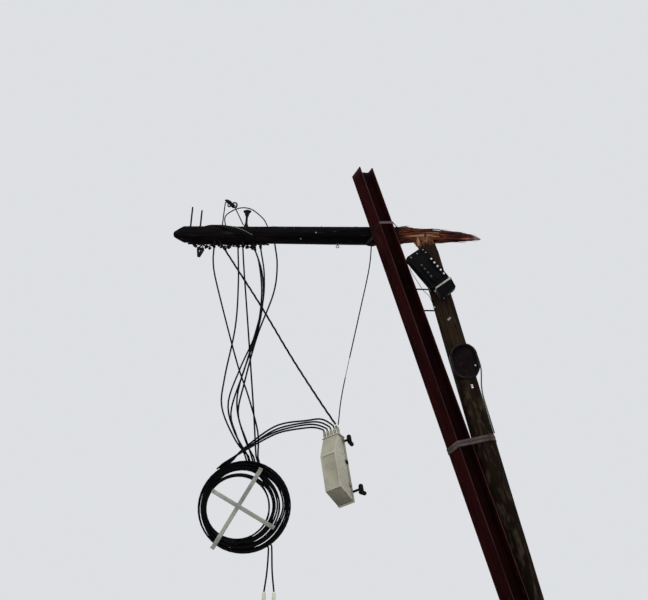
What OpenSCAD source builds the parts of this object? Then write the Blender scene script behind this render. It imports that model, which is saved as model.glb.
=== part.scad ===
// A broken wooden telephone pole, propped by a steel beam.
// The origin is on the ground, at the middle of the standing pole's foot.
// X runs to the right, Y runs away from the front and Z is up. Sizes are in mm.

/* [Standing pole] */
// Diameter of the pole at the ground
foot_d = 190; // [150:1:240]
// Diameter of the pole where it broke
break_d = 158; // [130:1:190]
// Height of the break above the ground
break_h = 5130; // [4900:10:5200]
// Height of the split tongue above the break
tongue_h = 90; // [40:5:110]
// Lean of the pole to the left, in degrees
pole_lean = 12.2; // [8:0.1:14]
// Lean of the pole to the back, in degrees
pole_back = 0.8; // [0:0.1:2]

/* [Steel beam] */
// Width of the beam's flanges
flange_w = 140; // [100:1:180]
// Depth of the beam over its flanges
beam_depth = 133; // [96:1:180]
// Thickness of a flange
flange_t = 8.5; // [6:0.5:14]
// Thickness of the web
web_t = 5.5; // [4:0.5:10]
// Radius of the fillet at the web's root
root_r = 12; // [6:1:15]
// Height of the beam's top above the ground
beam_top = 5915; // [5600:5:6200]
// Height at which the beam bears on the pole
bearing_h = 1750; // [1400:10:2200]
// Lean of the beam to the left, in degrees
beam_lean = 15.15; // [12:0.05:17]
// Lean of the beam to the back, in degrees
beam_back = 4.6; // [3:0.05:6]
// Turn of the beam about its own length, in degrees
beam_turn = 28; // [15:1:40]

/* [Tie rods] */
// Diameter of the two rods from the beam to the pole
rod_d = 12; // [8:1:20]
// Distance of the upper rod below the break
upper_rod_drop = 330; // [250:5:400]
// Distance of the lower rod below the break
lower_rod_drop = 525; // [460:5:700]

/* [Fallen top] */
// Diameter at the pole's head
head_d = 142; // [110:1:160]
// Diameter at the torn end
tear_d = 156; // [130:1:180]
// Length from the beam to the head
head_reach = 1720; // [1650:10:1950]
// Length from the beam to the torn end
tear_reach = 150; // [120:10:200]
// Length of the torn fibres
fibre_len = 650; // [500:10:800]
// Number of torn fibres
fibre_n = 14; // [8:1:20]
// Distance from the beam's top down to where the fallen top crosses it
cross_drop = 543; // [460:1:620]
// Yaw of the fallen top, in degrees
fallen_yaw = 5.4; // [0:0.1:10]
// Drop of the fallen top towards the torn end, in degrees
fallen_drop = 3.4; // [0:0.1:6]
// Length of the blunt cone at the pole's head
cap_len = 95; // [40:5:120]

/* [Straps] */
// Thickness of a strap
strap_t = 2.5; // [1.5:0.5:5]
// Width of a strap
strap_w = 22; // [12:1:40]
// Distance of the lower lashing below the break
lashing_drop = 1675; // [1500:5:1900]

/* [Terminal box] */
// Width of the terminal box
box_w = 171; // [160:1:200]
// Length of the terminal box
box_len = 335; // [310:1:360]
// Depth of the terminal box
box_depth = 80; // [60:1:110]
// Distance of the terminal box's middle below the break
box_drop = 278; // [250:2:320]
// Distance of the terminal box's middle from the pole's, to the left
box_off = 79; // [50:1:90]
// Tilt of the terminal box to the left, in degrees
box_tilt = 36; // [25:1:45]
// Gap between the pole and the terminal box
box_gap = 32; // [15:1:60]
// Diameter of a port's cap
port_d = 18; // [12:1:22]
// Distance between the ports of one row
port_pitch = 39; // [30:0.5:44]
// Distance between the two rows of ports
port_span = 94; // [80:1:100]
// Width of the lower housing
tail_w = 145; // [130:1:160]
// Length of the lower housing below the terminal box
tail_len = 95; // [70:1:140]
// Shift of the lower housing's end to the left
tail_shift = 15; // [0:1:30]

/* [Oval plate] */
// Width of the oval plate
plate_w = 206; // [180:1:220]
// Height of the oval plate
plate_len = 280; // [230:1:320]
// Distance of the plate's rim in front of the pole
plate_t = 18; // [10:1:30]
// Width of the plate's rim
rim_w = 14; // [8:1:25]
// Reach of the hood over the plate's upper half
hood_d = 16; // [8:1:40]
// Distance of the oval plate's middle below the break
plate_drop = 1030; // [900:5:1200]
// Distance of the plate's middle from the pole's, to the right
plate_off = 13; // [0:1:30]

/* [Splice box] */
// Width of the splice box
splice_w = 130; // [110:1:180]
// Depth of the splice box
splice_d = 190; // [150:1:220]
// Depth of the splice box at its top
splice_top_d = 100; // [80:1:120]
// Height of the splice box
splice_len = 540; // [500:5:620]
// Height of the sloped panel at the top
slope_h = 180; // [120:5:200]
// Height of the front panel
front_h = 290; // [240:5:300]
// Thickness of the splice box's back tray
tray_t = 22; // [10:1:30]
// Thickness of the seal between tray and cover
seal_t = 4; // [2:0.5:8]
// Tilt of the splice box to the left, in degrees
splice_tilt = 8; // [0:1:20]
// Lean of the splice box's top to the back, in degrees
splice_lean = 12; // [0:1:20]
// Turn of the splice box about the vertical, in degrees
splice_turn = 61; // [40:1:75]
// Diameter of a cable sleeve
sleeve_d = 24; // [16:1:26]
// Length of a cable sleeve
sleeve_len = 62; // [50:1:90]
// Distance between the cable sleeves
sleeve_pitch = 30; // [26:0.5:32]

/* [Cable coil] */
// Outer diameter of the coil
coil_od = 700; // [650:5:800]
// Diameter of the opening in the coil
coil_id = 476; // [400:5:560]
// Thickness of the coil from front to back
coil_t = 80; // [60:5:100]
// Diameter of the coiled cable
cable_d = 13; // [8:0.5:16]
// Diameter of the hanging cables
drop_d = 13.5; // [8:0.5:14]
// Width of an arm of the coil's cross
arm_w = 32; // [20:1:50]
// Thickness of an arm of the coil's cross
arm_t = 5; // [3:0.5:8]
// Diameter of a tail's end cap
end_cap_d = 28; // [20:1:36]
// Length of a tail's end cap
end_cap_len = 110; // [60:5:150]

/* [Pole head] */
// Diameter of the two pins on the head
pin_d = 14; // [8:1:24]
// Height of the taller pin above the fallen top
pin_len = 190; // [120:5:260]
// Height of the bolt above the fallen top
bolt_len = 160; // [120:5:220]
// Diameter of the bolt's mushroom head
bolt_head_d = 70; // [50:1:80]
// Diameter of a cable clamp under the head
clamp_d = 26; // [18:1:34]
// Number of trunk cables over the head
trunk_n = 3; // [1:1:4]

/* [Hidden] */

$fn = 48;
fit = 0.3;
below = 300;
wide = 2000;
beam_len = beam_top / (cos(beam_lean) * cos(beam_back));
cross_h = beam_top - cross_drop;
box_h = break_h - box_drop;
plate_h = break_h - plate_drop;
lashing_h = break_h - lashing_drop;
wire_bolt_h = break_h - lower_rod_drop - 10;

// Turn a vector the way rotate([a, b, 0]) turns a solid.
function turned(a, b, v) =
    let (y = v.y * cos(a) - v.z * sin(a), z = v.y * sin(a) + v.z * cos(a))
    [v.x * cos(b) + z * sin(b), y, -v.x * sin(b) + z * cos(b)];
function about_z(c, v) = [v.x * cos(c) - v.y * sin(c), v.x * sin(c) + v.y * cos(c), v.z];
function unit(v) = v / norm(v);

// The standing pole's middle line, its radius at a height, and a point given in its own frame.
pole_dir = turned(-pole_back, -pole_lean, [0, 0, 1]);
function pole_at(z) = pole_dir * (z / pole_dir.z);
function pole_r(z) = (foot_d + (break_d - foot_d) * z / break_h) / 2;
function from_pole(z, v) = pole_at(z) + turned(-pole_back, -pole_lean, v);

// The beam's middle line: its rear right corner bears on the standing pole.
beam_dir = turned(-beam_back, -beam_lean, [0, 0, 1]);
function beam_vec(v) = turned(-beam_back, -beam_lean, about_z(beam_turn, v));
corner_off = beam_vec([beam_depth / 2, flange_w / 2, 0]);
bearing_dir = unit(cross(pole_dir, beam_dir));
beam_mid = pole_at(bearing_h) + bearing_dir * (pole_r(bearing_h) + fit) - corner_off;
function beam_at(z) = beam_mid + beam_dir * ((z - beam_mid.z) / beam_dir.z);

// The fallen top's middle line: it rests against the beam's rear right corner.
fallen_dir = about_z(-fallen_yaw, [cos(fallen_drop), 0, -sin(fallen_drop)]);
rear_corner = beam_at(cross_h) + corner_off;
cross_r = (tear_d + (head_d - tear_d) * tear_reach / (tear_reach + head_reach)) / 2;
rest_dir = unit(cross(beam_dir, fallen_dir));
fallen_mid = rear_corner + rest_dir * (cross_r + fit);
fallen_back = unit(cross([0, 0, 1], fallen_dir));
fallen_up = cross(fallen_dir, fallen_back);
function fallen_at(s) = fallen_mid + fallen_dir * s;
function fallen_r(s) =
    (tear_d + (head_d - tear_d) * (tear_reach - s) / (tear_reach + head_reach)) / 2;
// A point beside the fallen top: angle 0 is its crown and 90 its front.
function on_log(s, a, off) =
    fallen_at(s) + (fallen_r(s) + off) * (fallen_up * cos(a) - fallen_back * sin(a));
// A point in the upright plane through the fallen top's middle line.
function over_log(s, h) = fallen_at(s) + fallen_up * h;

// Points round a tapering tube, and the tube along a line of points.
function tangent(p, i) = unit(p[min(i + 1, len(p) - 1)] - p[max(i - 1, 0)]);
function side_of(t) = unit(cross(t, abs(t.z) < 0.9 ? [0, 0, 1] : [0, 1, 0]));
function ring(c, t, r, n) =
    let (u = side_of(t), v = cross(t, u))
    [for (k = [0:n - 1]) c + r * (u * cos(360 * k / n) + v * sin(360 * k / n))];
module swept(p, r, n) {
    rings = [for (i = [0:len(p) - 1]) each ring(p[i], tangent(p, i), r[i], n)];
    walls = [for (i = [0:len(p) - 2]) for (k = [0:n - 1])
        let (a = i * n + k, b = i * n + (k + 1) % n) each [[a, a + n, b + n], [a, b + n, b]]];
    ends = [[for (k = [0:n - 1]) k], [for (k = [n - 1:-1:0]) (len(p) - 1) * n + k]];
    polyhedron(rings, concat(walls, ends), convexity = 10);
}
module tube(p, d, n = 8) { swept(p, [for (q = p) d / 2], n); }

// A flat band along a closed line of points, with its back towards the middle.
module band(p, mid, w, t) {
    n = len(p);
    corners = [for (i = [0:n - 1])
        let (along = unit(p[(i + 1) % n] - p[(i + n - 1) % n]),
            out = unit(p[i] - mid - along * ((p[i] - mid) * along)),
            side = cross(along, out))
        each [p[i] - side * w / 2, p[i] + side * w / 2,
            p[i] + side * w / 2 + out * t, p[i] - side * w / 2 + out * t]];
    faces = [for (i = [0:n - 1]) for (k = [0:3])
        let (a = i * 4 + k, b = i * 4 + (k + 1) % 4, j = ((i + 1) % n) * 4)
        each [[a, b, j + (k + 1) % 4], [a, j + (k + 1) % 4, j + k]]];
    polyhedron(corners, faces, convexity = 10);
}

// An outline with every corner rounded.
function rounded(p, r, steps = 4) = [for (i = [0:len(p) - 1])
    let (a = p[(i + len(p) - 1) % len(p)], b = p[i], c = p[(i + 1) % len(p)],
        u = unit(a - b), v = unit(c - b), half = acos(u * v) / 2,
        m = b + unit(u + v) * r / sin(half), s = b + u * r / tan(half), e = b + v * r / tan(half),
        a0 = atan2((s - m).y, (s - m).x), a1 = atan2((e - m).y, (e - m).x),
        turn = a1 - a0 > 180 ? a1 - a0 - 360 : a1 - a0 < -180 ? a1 - a0 + 360 : a1 - a0)
    for (k = [0:steps]) m + r * [cos(a0 + turn * k / steps), sin(a0 + turn * k / steps)]];
function box_outline(w, h) = [[-w / 2, -h / 2], [w / 2, -h / 2], [w / 2, h / 2], [-w / 2, h / 2]];
// A slab that stands up in X and Z, from a depth of y forwards by t.
module slab(p, r, y, t) {
    translate([0, y, 0]) rotate([90, 0, 0]) linear_extrude(t) polygon(rounded(p, r));
}
module stadium(w, l) {
    square([w, l - w], center = true);
    for (side = [-1, 1]) translate([0, side * (l - w) / 2]) circle(d = w);
}

module on_pole(z) { translate(pole_at(z)) rotate([-pole_back, -pole_lean, 0]) children(); }
module on_beam(z) { translate(beam_at(z)) rotate([-beam_back, -beam_lean, 0])
    rotate([0, 0, beam_turn]) children(); }
// Local Z runs along the fallen top towards the torn end, local Y points up.
module on_fallen(s) { translate(fallen_at(s)) rotate([0, 0, -fallen_yaw])
    rotate([0, fallen_drop, 0]) rotate([0, 90, 0]) rotate([0, 0, 90]) children(); }
// The plain round of the standing pole and of the fallen top, for what seats on them.
module pole_round(grow) {
    on_pole(0) cylinder(d1 = foot_d + 2 * grow, d2 = break_d + 2 * grow, h = break_h / pole_dir.z);
}
module log_round(grow) {
    on_fallen(-head_reach)
        cylinder(d1 = head_d + 2 * grow, d2 = tear_d + 2 * grow, h = head_reach + tear_reach);
}

module h_section() {
    for (side = [-1, 1]) translate([side * (beam_depth - flange_t) / 2, 0])
        square([flange_t, flange_w], center = true);
    square([beam_depth - flange_t, web_t], center = true);
    for (a = [-1, 1]) for (b = [-1, 1]) scale([a, b]) {
        translate([beam_depth / 2 - flange_t - root_r, web_t / 2]) difference() {
            square(root_r);
            translate([0, root_r]) circle(root_r);
        }
    }
}
module underground() { translate([-wide / 2, -wide / 2, -wide]) cube(wide); }
module steel_beam() {
    color("#4a1a17") difference() {
        on_beam(0) translate([0, 0, -below]) linear_extrude(beam_len + below) h_section();
        underground();
    }
}

// The break's outline from the front and from the side: the wood is left under both of them.
// Each has flat ledges, from which the splinters stand.
crest_front = [[-1.3, -0.8], [-0.85, -0.25], [-0.78, 0], [-0.42, 0], [-0.36, 0.5], [-0.22, 0.32],
    [-0.12, 1], [0.44, 1], [0.5, 0.55], [0.62, 0.7], [0.72, 0.1], [0.9, -0.75], [1.3, -1.3]];
crest_side = [[-1.3, -1.3], [-0.75, -0.55], [-0.6, -0.1], [-0.5, 0.35], [-0.3, 0.2],
    [-0.15, 1], [0.75, 1], [0.85, 0.4], [1.3, 0.1]];
module over_crest(p) {
    line = [for (q = p) [q.x * break_d / 2, q.y * tongue_h]];
    rotate([90, 0, 0]) linear_extrude(2 * break_d, center = true)
        polygon(concat(line, [[break_d, 3 * tongue_h], [-break_d, 3 * tongue_h]]));
}
module pole_stub() {
    rise = break_h / pole_dir.z;
    color("#3a3226") difference() {
        on_pole(0) translate([0, 0, -below])
            cylinder(d1 = foot_d + (foot_d - break_d) * below / rise, d2 = break_d, h = rise + below);
        underground();
        on_pole(break_h) over_crest(crest_front);
    }
    color("#3a3226") on_pole(break_h) difference() {
        cylinder(d = break_d, h = tongue_h);
        over_crest(crest_front);
        rotate([0, 0, 90]) over_crest(crest_side);
    }
}

// Each splinter: its foot on a ledge (x, y, ledge), its tip, and the radius of its foot.
// A tip with two numbers is a place on the fallen top, where the torn fibres still hold it.
ledge_low = 0;
ledge_high = tongue_h;
function splinter_tip(t) = len(t) == 2 ? on_log(t[0], t[1], fit + 2) : from_pole(break_h, t);
splinters = [
    [[1, 40, ledge_high], [285, 128], 10], [[22, 14, ledge_high], [312, 112], 11],
    [[22, 46, ledge_high], [34, 62, ledge_high + 75], 9],
    [[-46, -20, ledge_low], [-62, -34, 95], 11], [[-48, 14, ledge_low], [228, 122], 12],
    [[-46, 44, ledge_low], [-52, 72, 130], 9]];
module stub_splinters() {
    color("#8a5a33") for (q = splinters) {
        foot = from_pole(break_h, q[0]);
        tip = splinter_tip(q[1]);
        mid = (foot + tip) / 2 + pole_dir * norm(tip - foot) * 0.08;
        difference() {
            swept([foot - pole_dir * q[2], foot, mid, tip], [q[2], q[2], q[2] * 0.7, 1.5], 5);
            on_pole(break_h) translate([q[0].x - break_d / 2, q[0].y - break_d / 2, q[0].z - break_d])
                cube(break_d);
        }
    }
}

// The blunt cone at the head, in shares of the head's radius and of the cone's length.
cap_shape = [[0, 1], [0.24, 0.98], [0.38, 0.9], [0.93, 0.14], [1, 0]];
module fallen_top() {
    cap = [for (q = cap_shape) [q.x * head_d / 2, -head_reach - q.y * cap_len]];
    color("#231f1c") on_fallen(0) rotate_extrude()
        polygon(concat([[0, tear_reach]], cap, [[tear_d / 2, tear_reach]]));
}

// The torn fibres: tapering blades on a sunflower pattern that share one root.
// The lowest ones are the longest, and all of them droop a little towards their tips.
fibre_r = tear_d * 0.17;
fibre_droop = 20;
function fibre_root(i) = let (q = sqrt((i + 0.3) / fibre_n) * (tear_d / 2 - fibre_r - 1))
    q * [cos(137.5 * i), sin(137.5 * i)];
function fibre_reach(i) = let (y = fibre_root(i).y)
    fibre_len * (i == 0 ? 1 : 0.92 - 0.5 * abs(y + fibre_droop) / tear_d + 0.09 * sin(73 * i));
module torn_splinters() {
    color("#7a4c2c") on_fallen(tear_reach) difference() {
        union() for (i = [0:fibre_n - 1]) {
            root = fibre_root(i);
            long = fibre_reach(i);
            sag = [0, fibre_droop * pow(long / fibre_len, 3)];
            line = [for (f = [-0.03, 0, 0.45, 0.8, 1])
                let (p = root * (1 - 0.2 * max(f, 0)) - sag * pow(max(f, 0), 2)) [p.x, p.y, long * f]];
            swept(line, [fibre_r, fibre_r, fibre_r * 0.95, fibre_r * 0.6, 1.5], 5);
        }
        translate([-tear_d, -tear_d, -2 * tear_d]) cube(2 * tear_d);
    }
}

function in_beam(z, p) =
    let (v = p - beam_at(z), w = turned(0, beam_lean, v), x = turned(beam_back, 0, w))
    about_z(-beam_turn, x);
// Where the pole's middle line meets the plane square to the beam at a height.
function pole_by_beam(z) = pole_dir * ((beam_at(z) * beam_dir) / (pole_dir * beam_dir));
module strap_outline(z, grow) {
    p = pole_by_beam(z);
    c = in_beam(z, p);
    hull() {
        square([beam_depth + 2 * grow, flange_w + 2 * grow], center = true);
        translate([c.x, c.y]) circle(pole_r(p.z) + grow);
    }
}
strap_gap = 2;
module lower_lashing() {
    color("#6d655c") difference() {
        for (side = [-1, 1]) let (z = lashing_h + side * (strap_w + strap_gap) / 2) on_beam(z)
            translate([0, 0, -strap_w / 2]) linear_extrude(strap_w) difference() {
                strap_outline(z, fit + strap_t);
                strap_outline(z, fit);
            }
        pole_round(fit / 6);
    }
}
buckle = [24, 12, 54];
module lashing_buckle() {
    p = pole_by_beam(lashing_h);
    c = in_beam(lashing_h, p);
    color("#575049") on_beam(lashing_h)
        translate([c.x - buckle.x / 2, c.y - pole_r(p.z) - strap_t - 1.6 - buckle.y, -buckle.z / 2])
            cube(buckle);
}
wrap_right = 110;
wrap_left = -150;
strap_low = 22;
wrap_steps = 8;
// The upper strap runs round the back of the fallen top and crosses the beam's front.
module upper_lashing() {
    mid = (beam_at(cross_h) + fallen_mid) / 2;
    edge_x = beam_depth / 2 + 1;
    edge_y = flange_w / 2 + 1;
    wrap = [for (i = [0:wrap_steps])
        let (a = 180 * i / wrap_steps, s = wrap_right + (wrap_left - wrap_right) * i / wrap_steps)
        fallen_at(s) + (fallen_r(s) + 1) / cos(90 / wrap_steps)
            * (fallen_up * cos(a) + fallen_back * sin(a))];
    front = [beam_at(cross_h - 3 * strap_low) + beam_vec([-edge_x, edge_y, 0]),
        beam_at(cross_h - strap_low) + beam_vec([-edge_x, -edge_y, 0]),
        beam_at(cross_h - strap_low / 2) + beam_vec([edge_x, -edge_y, 0])];
    color("#857b70") difference() {
        band(concat(wrap, front), mid, strap_w, strap_t);
        fallen_top();
        steel_beam();
    }
}
// Each rod stands on the beam's rear right flange and ends on the pole.
module tie_rods() {
    color("#2b2422") for (z = [break_h - lower_rod_drop, break_h - upper_rod_drop]) {
        start = beam_at(z) + beam_vec([beam_depth / 2 + fit, flange_w / 4, 0]);
        out = beam_vec([1, 0, 0]);
        difference() {
            translate(start) rotate([-beam_back, -beam_lean, 0]) rotate([0, 0, beam_turn])
                rotate([0, 90, 0]) cylinder(d = rod_d, h = norm(pole_by_beam(z) - start));
            pole_round(fit);
            on_pole(0) translate([foot_d / 8, -wide / 2, 0]) cube([wide, wide, 3 * wide]);
        }
    }
}

// The terminal box's own frame: X across it, Z along it, with its back at Y = 0.
module in_box() {
    translate(pole_at(box_h) + [-box_off, -pole_r(box_h) - box_gap, 0])
        rotate([0, -box_tilt, 0]) children();
}
box_r = 14;
base_depth = box_depth * 0.55;
lid_depth = box_depth * 0.35;
pad_depth = box_depth - base_depth - lid_depth;
pad_w = port_d + 14;
port_top = box_len / 2 - 133;
tail_mid = (box_w - tail_w) / 2;
neck = 18;
strap_thick = 3;
module terminal_bracket() {
    size = [60, box_gap + foot_d / 2, 140];
    color("#3d3a38") difference() {
        translate(pole_at(box_h) + [0, -pole_r(box_h) - box_gap + fit, 0]) rotate([0, -pole_lean, 0])
            translate([-size.x / 2, 0, -size.z / 2]) cube(size);
        pole_round(fit);
        translate(pole_at(box_h) + [-wide / 2, 0, -wide / 2]) cube(wide);
        on_pole(box_h) cylinder(d = break_d * 0.9, h = size.z * 2, center = true);
    }
}
module terminal_box() {
    color("#151515") in_box() slab(box_outline(box_w, box_len), box_r, 0, base_depth);
}
module terminal_cover() {
    inset = 6;
    color("#1c1c1d") in_box() {
        slab(box_outline(box_w - inset, box_len - inset), box_r - inset / 2, -base_depth, lid_depth);
        translate([tail_mid, 0, -2 * inset])
            slab(box_outline(port_span - pad_w - inset, box_len - 100), 4, -base_depth - lid_depth,
                pad_depth / 2);
        for (side = [-1, 1]) translate([tail_mid + side * port_span / 2, 0, port_top - 2 * port_pitch])
            slab(box_outline(pad_w, 4 * port_pitch + pad_w), pad_w / 2 - 1, -base_depth - lid_depth,
                pad_depth);
    }
}
// A port's cap: a flange, a barrel and a domed end.
module port_cap(n, side) {
    color(side > 0 ? "#c9c9c4" : "#4c4c4b") in_box() for (i = [0:n - 1])
        translate([tail_mid + side * port_span / 2, -box_depth, port_top - i * port_pitch])
            rotate([90, 0, 0])
            rotate_extrude() polygon([[0, 0], [port_d / 2 + 4, 0], [port_d / 2 + 4, 3], [port_d / 2, 4],
                [port_d / 2, 11], [port_d / 2 - 2, 13.5], [0, 14.5]]);
}
module terminal_plugs() { port_cap(5, 1); }
module terminal_ports() { port_cap(4, -1); }
tail_outline = [[-tail_w / 2, 0], [-tail_w / 2, -neck], [-tail_w / 2 - tail_shift, -tail_len - 8],
    [tail_w / 2 - tail_shift, -tail_len + 6], [tail_w / 2, -neck], [tail_w / 2, 0]];
tail_depth = box_depth - 4;
module terminal_tail() {
    color("#1f1f20") in_box() translate([tail_mid, 0, -box_len / 2])
        slab(tail_outline, 3, 0, tail_depth);
}
module terminal_strap() {
    w = tail_w + 2 * fit;
    color("#8d9585") in_box() translate([tail_mid, -tail_depth / 2, -box_len / 2 - neck + 1])
        linear_extrude(neck - 4) difference() {
            square([w + 2 * strap_thick, tail_depth + 2 * fit + 2 * strap_thick], center = true);
            square([w, tail_depth + 2 * fit], center = true);
        }
}
// Screws in the cover, from its top right corner, and in the slanted end of the lower housing.
lid_screws = [[-140, -28], [-81, -28], [-24, -28], [-20, -60]];
module terminal_screws() {
    screw_d = 15;
    head = 6;
    slant = atan2(14, tail_w);
    color("#a8a8a4") in_box() {
        for (q = lid_screws)
            translate([box_w / 2 + q.x, -base_depth - lid_depth - fit, box_len / 2 + q.y])
                rotate([90, 0, 0]) cylinder(d = screw_d, h = head);
        for (x = [-0.36, 0, 0.36]) translate([tail_mid + x * tail_w - tail_shift, -tail_depth / 2,
            x * 14 - box_len / 2 - tail_len - 1 - fit])
                rotate([180, -slant, 0]) cylinder(d = screw_d, h = head);
    }
}

wire_bolt_turn = -72;
wire_bolt_len = 14;
wire_d = 4;
wire_bolt_tip = pole_at(wire_bolt_h) + turned(-pole_back, -pole_lean,
    about_z(wire_bolt_turn, [0, -pole_r(wire_bolt_h) - fit - wire_bolt_len / 2, 9 + fit]));
function from_box(v) = pole_at(box_h) + [-box_off, -pole_r(box_h) - box_gap, 0]
    + turned(0, -box_tilt, v);
wire_start = from_box([-box_w / 2 - fit - wire_d / 2, -base_depth / 2, box_len * 0.28]);
wire_route = [wire_start, from_box([-box_w / 2 - 22, -base_depth / 2, box_len * 0.2]),
    from_box([-box_w / 2 - 48, -base_depth / 2, -box_len * 0.33]), wire_bolt_tip + [-34, -6, 84],
    wire_bolt_tip + [-wire_d / 2, 0, wire_d]];
module earth_wire() { color("#333231") tube(wire_route, wire_d, 8); }
module wire_bolt() {
    color("#b5b5b0") on_pole(wire_bolt_h) rotate([0, 0, wire_bolt_turn])
        translate([0, -pole_r(wire_bolt_h) - fit, 0]) rotate([90, 0, 0])
            cylinder(d = 18, h = wire_bolt_len);
}

// The oval plate's own frame: its back is cut to the pole's round.
module on_plate() { on_pole(plate_h) translate([plate_off, 0, 0]) children(); }
plate_front = pole_r(plate_h) + plate_t;
plate_back = pole_r(plate_h) * 0.66;
module oval(grow, y0, y1) {
    translate([0, -y0, 0]) rotate([90, 0, 0]) linear_extrude(y1 - y0)
        stadium(plate_w + 2 * grow, plate_len + 2 * grow);
}
module oval_plate() {
    color("#332a2c") difference() {
        on_plate() oval(-rim_w - fit, plate_back, plate_front - plate_t / 3);
        pole_round(fit);
    }
}
module oval_rim() {
    color("#1d1a1a") difference() {
        on_plate() difference() {
            union() {
                oval(0, plate_back, plate_front);
                intersection() {
                    oval(0, plate_front - 1, plate_front + hood_d);
                    translate([-plate_w, -2 * plate_w, 0]) cube([2 * plate_w, 2 * plate_w, plate_len]);
                }
            }
            oval(-rim_w, plate_back - 1, plate_front + hood_d + 1);
        }
        pole_round(fit);
    }
}
plate_bolt_h = plate_h - plate_len / 2 - rim_w - 2 * plate_t;
plate_bolt_d = 16;
module plate_bolts() {
    color("#b8b8b2") {
        on_pole(plate_bolt_h) rotate([0, 0, 9]) translate([0, -pole_r(plate_bolt_h) - fit, 0])
            rotate([90, 0, 0]) cylinder(d = plate_bolt_d, h = 12);
        on_plate()
            translate([plate_w / 2 - rim_w - 1.4 * plate_bolt_d, -plate_front + plate_t / 3 - fit, -50])
                rotate([90, 0, 0]) cylinder(d = plate_bolt_d, h = 10);
    }
}
// The riser cable runs down beside the plate's rim and then along the pole to the lower lashing;
// its reach to the right and to the front is given in shares of the pole's radius, its height from
// the plate's middle.
riser_d = 10;
riser_share = [[84, 1.5, 0.8], [22, 1.55, 0.78], [-42, 1.52, 0.75], [-105, 1.35, 0.66],
    [-170, 1.16, 0.48], [-250, 1.06, 0.32], [-400, 1.06, 0.3], [-536, 1.06, 0.3]];
riser_route = [for (q = riser_share) let (z = plate_h + q[0])
    pole_at(z) + pole_r(z) * [q[1], -q[2], 0]];
module riser_cable() { color("#4b4c4c") tube(riser_route, riser_d, 8); }

// What hangs keeps its place from the point where the fallen top crosses the beam.
crossing = [-1425, 350, 5367];
hang = fallen_mid - crossing;
function hung(p) = [for (q = p) q + hang];

// The splice box's own frame, with its origin at the middle of its top's front edge.
splice_mid = hang + [-1885, 350, 3631];
function from_splice(v) = splice_mid + turned(-splice_lean, -splice_tilt, about_z(splice_turn, v));
splice_dir = turned(-splice_lean, -splice_tilt, [0, 0, 1]);
module in_splice() {
    translate(splice_mid) rotate([-splice_lean, -splice_tilt, 0])
        rotate([0, 0, splice_turn]) children();
}
// A side view of the box, from X at its front to the tray at its back, pulled out to a width.
module splice_body(p, w) { rotate([90, 0, 0]) translate([0, 0, -w / 2]) linear_extrude(w) polygon(p); }
splice_front = splice_top_d - splice_d;
splice_knee = slope_h + front_h;
tray_x = splice_top_d - tray_t;
panel = 3;
// Depth of the end slope where the cover meets the tray.
function end_z(x) = -splice_knee - (splice_len - splice_knee) * (x - splice_front) / splice_d;
module splice_back() {
    color("#8f887b") in_splice() {
        splice_body([[tray_x, 0], [splice_top_d, 0], [splice_top_d, end_z(splice_top_d)],
            [tray_x, end_z(tray_x)]], splice_w + 8);
        for (z = [0.2, 0.4, 0.6, 0.8]) translate([splice_top_d, -splice_w * 0.35, -splice_len * z])
            cube([6, splice_w * 0.7, 8]);
    }
}
module splice_seal() {
    color("#2a2723") in_splice() {
        splice_body([[tray_x - seal_t, -seal_t], [tray_x, -seal_t], [tray_x, end_z(tray_x)],
            [tray_x - seal_t, end_z(tray_x - seal_t)]], splice_w + 2);
        splice_body([[0, -seal_t], [tray_x - seal_t - 1, -seal_t], [tray_x, 0], [0, 0]], splice_w + 2);
    }
}
module splice_cover() {
    outline = rounded([[tray_x - seal_t, -seal_t], [0, -seal_t], [splice_front, -slope_h],
        [splice_front, -splice_knee], [tray_x - seal_t, end_z(tray_x - seal_t)]], 3);
    color("#aaa294") in_splice() difference() {
        splice_body(outline, splice_w);
        translate([splice_front - 1, -splice_w / 2 + 4 * panel, -splice_knee + 4 * panel])
            cube([1 + panel, splice_w - 8 * panel, front_h - 8 * panel]);
    }
}
// Five ribbed sleeves on a common foot plate, each with a nut below and a lip above.
foot_t = 8;
sleeve_x = 30;
function sleeve_top(i) = from_splice([sleeve_x, (i - 2) * sleeve_pitch, foot_t + sleeve_len + fit]);
module splice_glands() {
    r = sleeve_d / 2;
    color("#8d8779") in_splice() {
        translate([0, -splice_w / 2 - foot_t, 0]) cube([splice_top_d, splice_w + 2 * foot_t, foot_t]);
        for (i = [0:4]) translate([sleeve_x, (i - 2) * sleeve_pitch, 0]) {
            cylinder(d = sleeve_d + 2.5, h = foot_t + 14, $fn = 6);
            translate([0, 0, foot_t]) rotate_extrude() polygon([[0, 0], [r, 0], [r, 18], [r - 1.5, 20],
                [r - 1.5, 28], [r, 30], [r, 34], [r - 1.5, 36], [r - 1.5, 42], [r, 44], [r, 47],
                [r - 2, 49], [r - 2, sleeve_len - 4], [r - 1, sleeve_len], [0, sleeve_len]]);
        }
    }
}
latch_pitch = 190;
latch = [32, 9, 30];
module splice_latches() {
    color("#77706a") in_splice() for (i = [0:2]) for (side = [-1, 1])
        translate([tray_x - latch.x * 0.75, side * (splice_w / 2 + 4 + fit + latch.y / 2) - latch.y / 2,
            -latch.z - 12 - i * latch_pitch]) {
            cube(latch);
            translate([latch.x * 0.3, side > 0 ? latch.y : -4, 6])
                cube([latch.x * 0.5, 4, latch.z - 12]);
        }
}
lug_t = 12;
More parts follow.
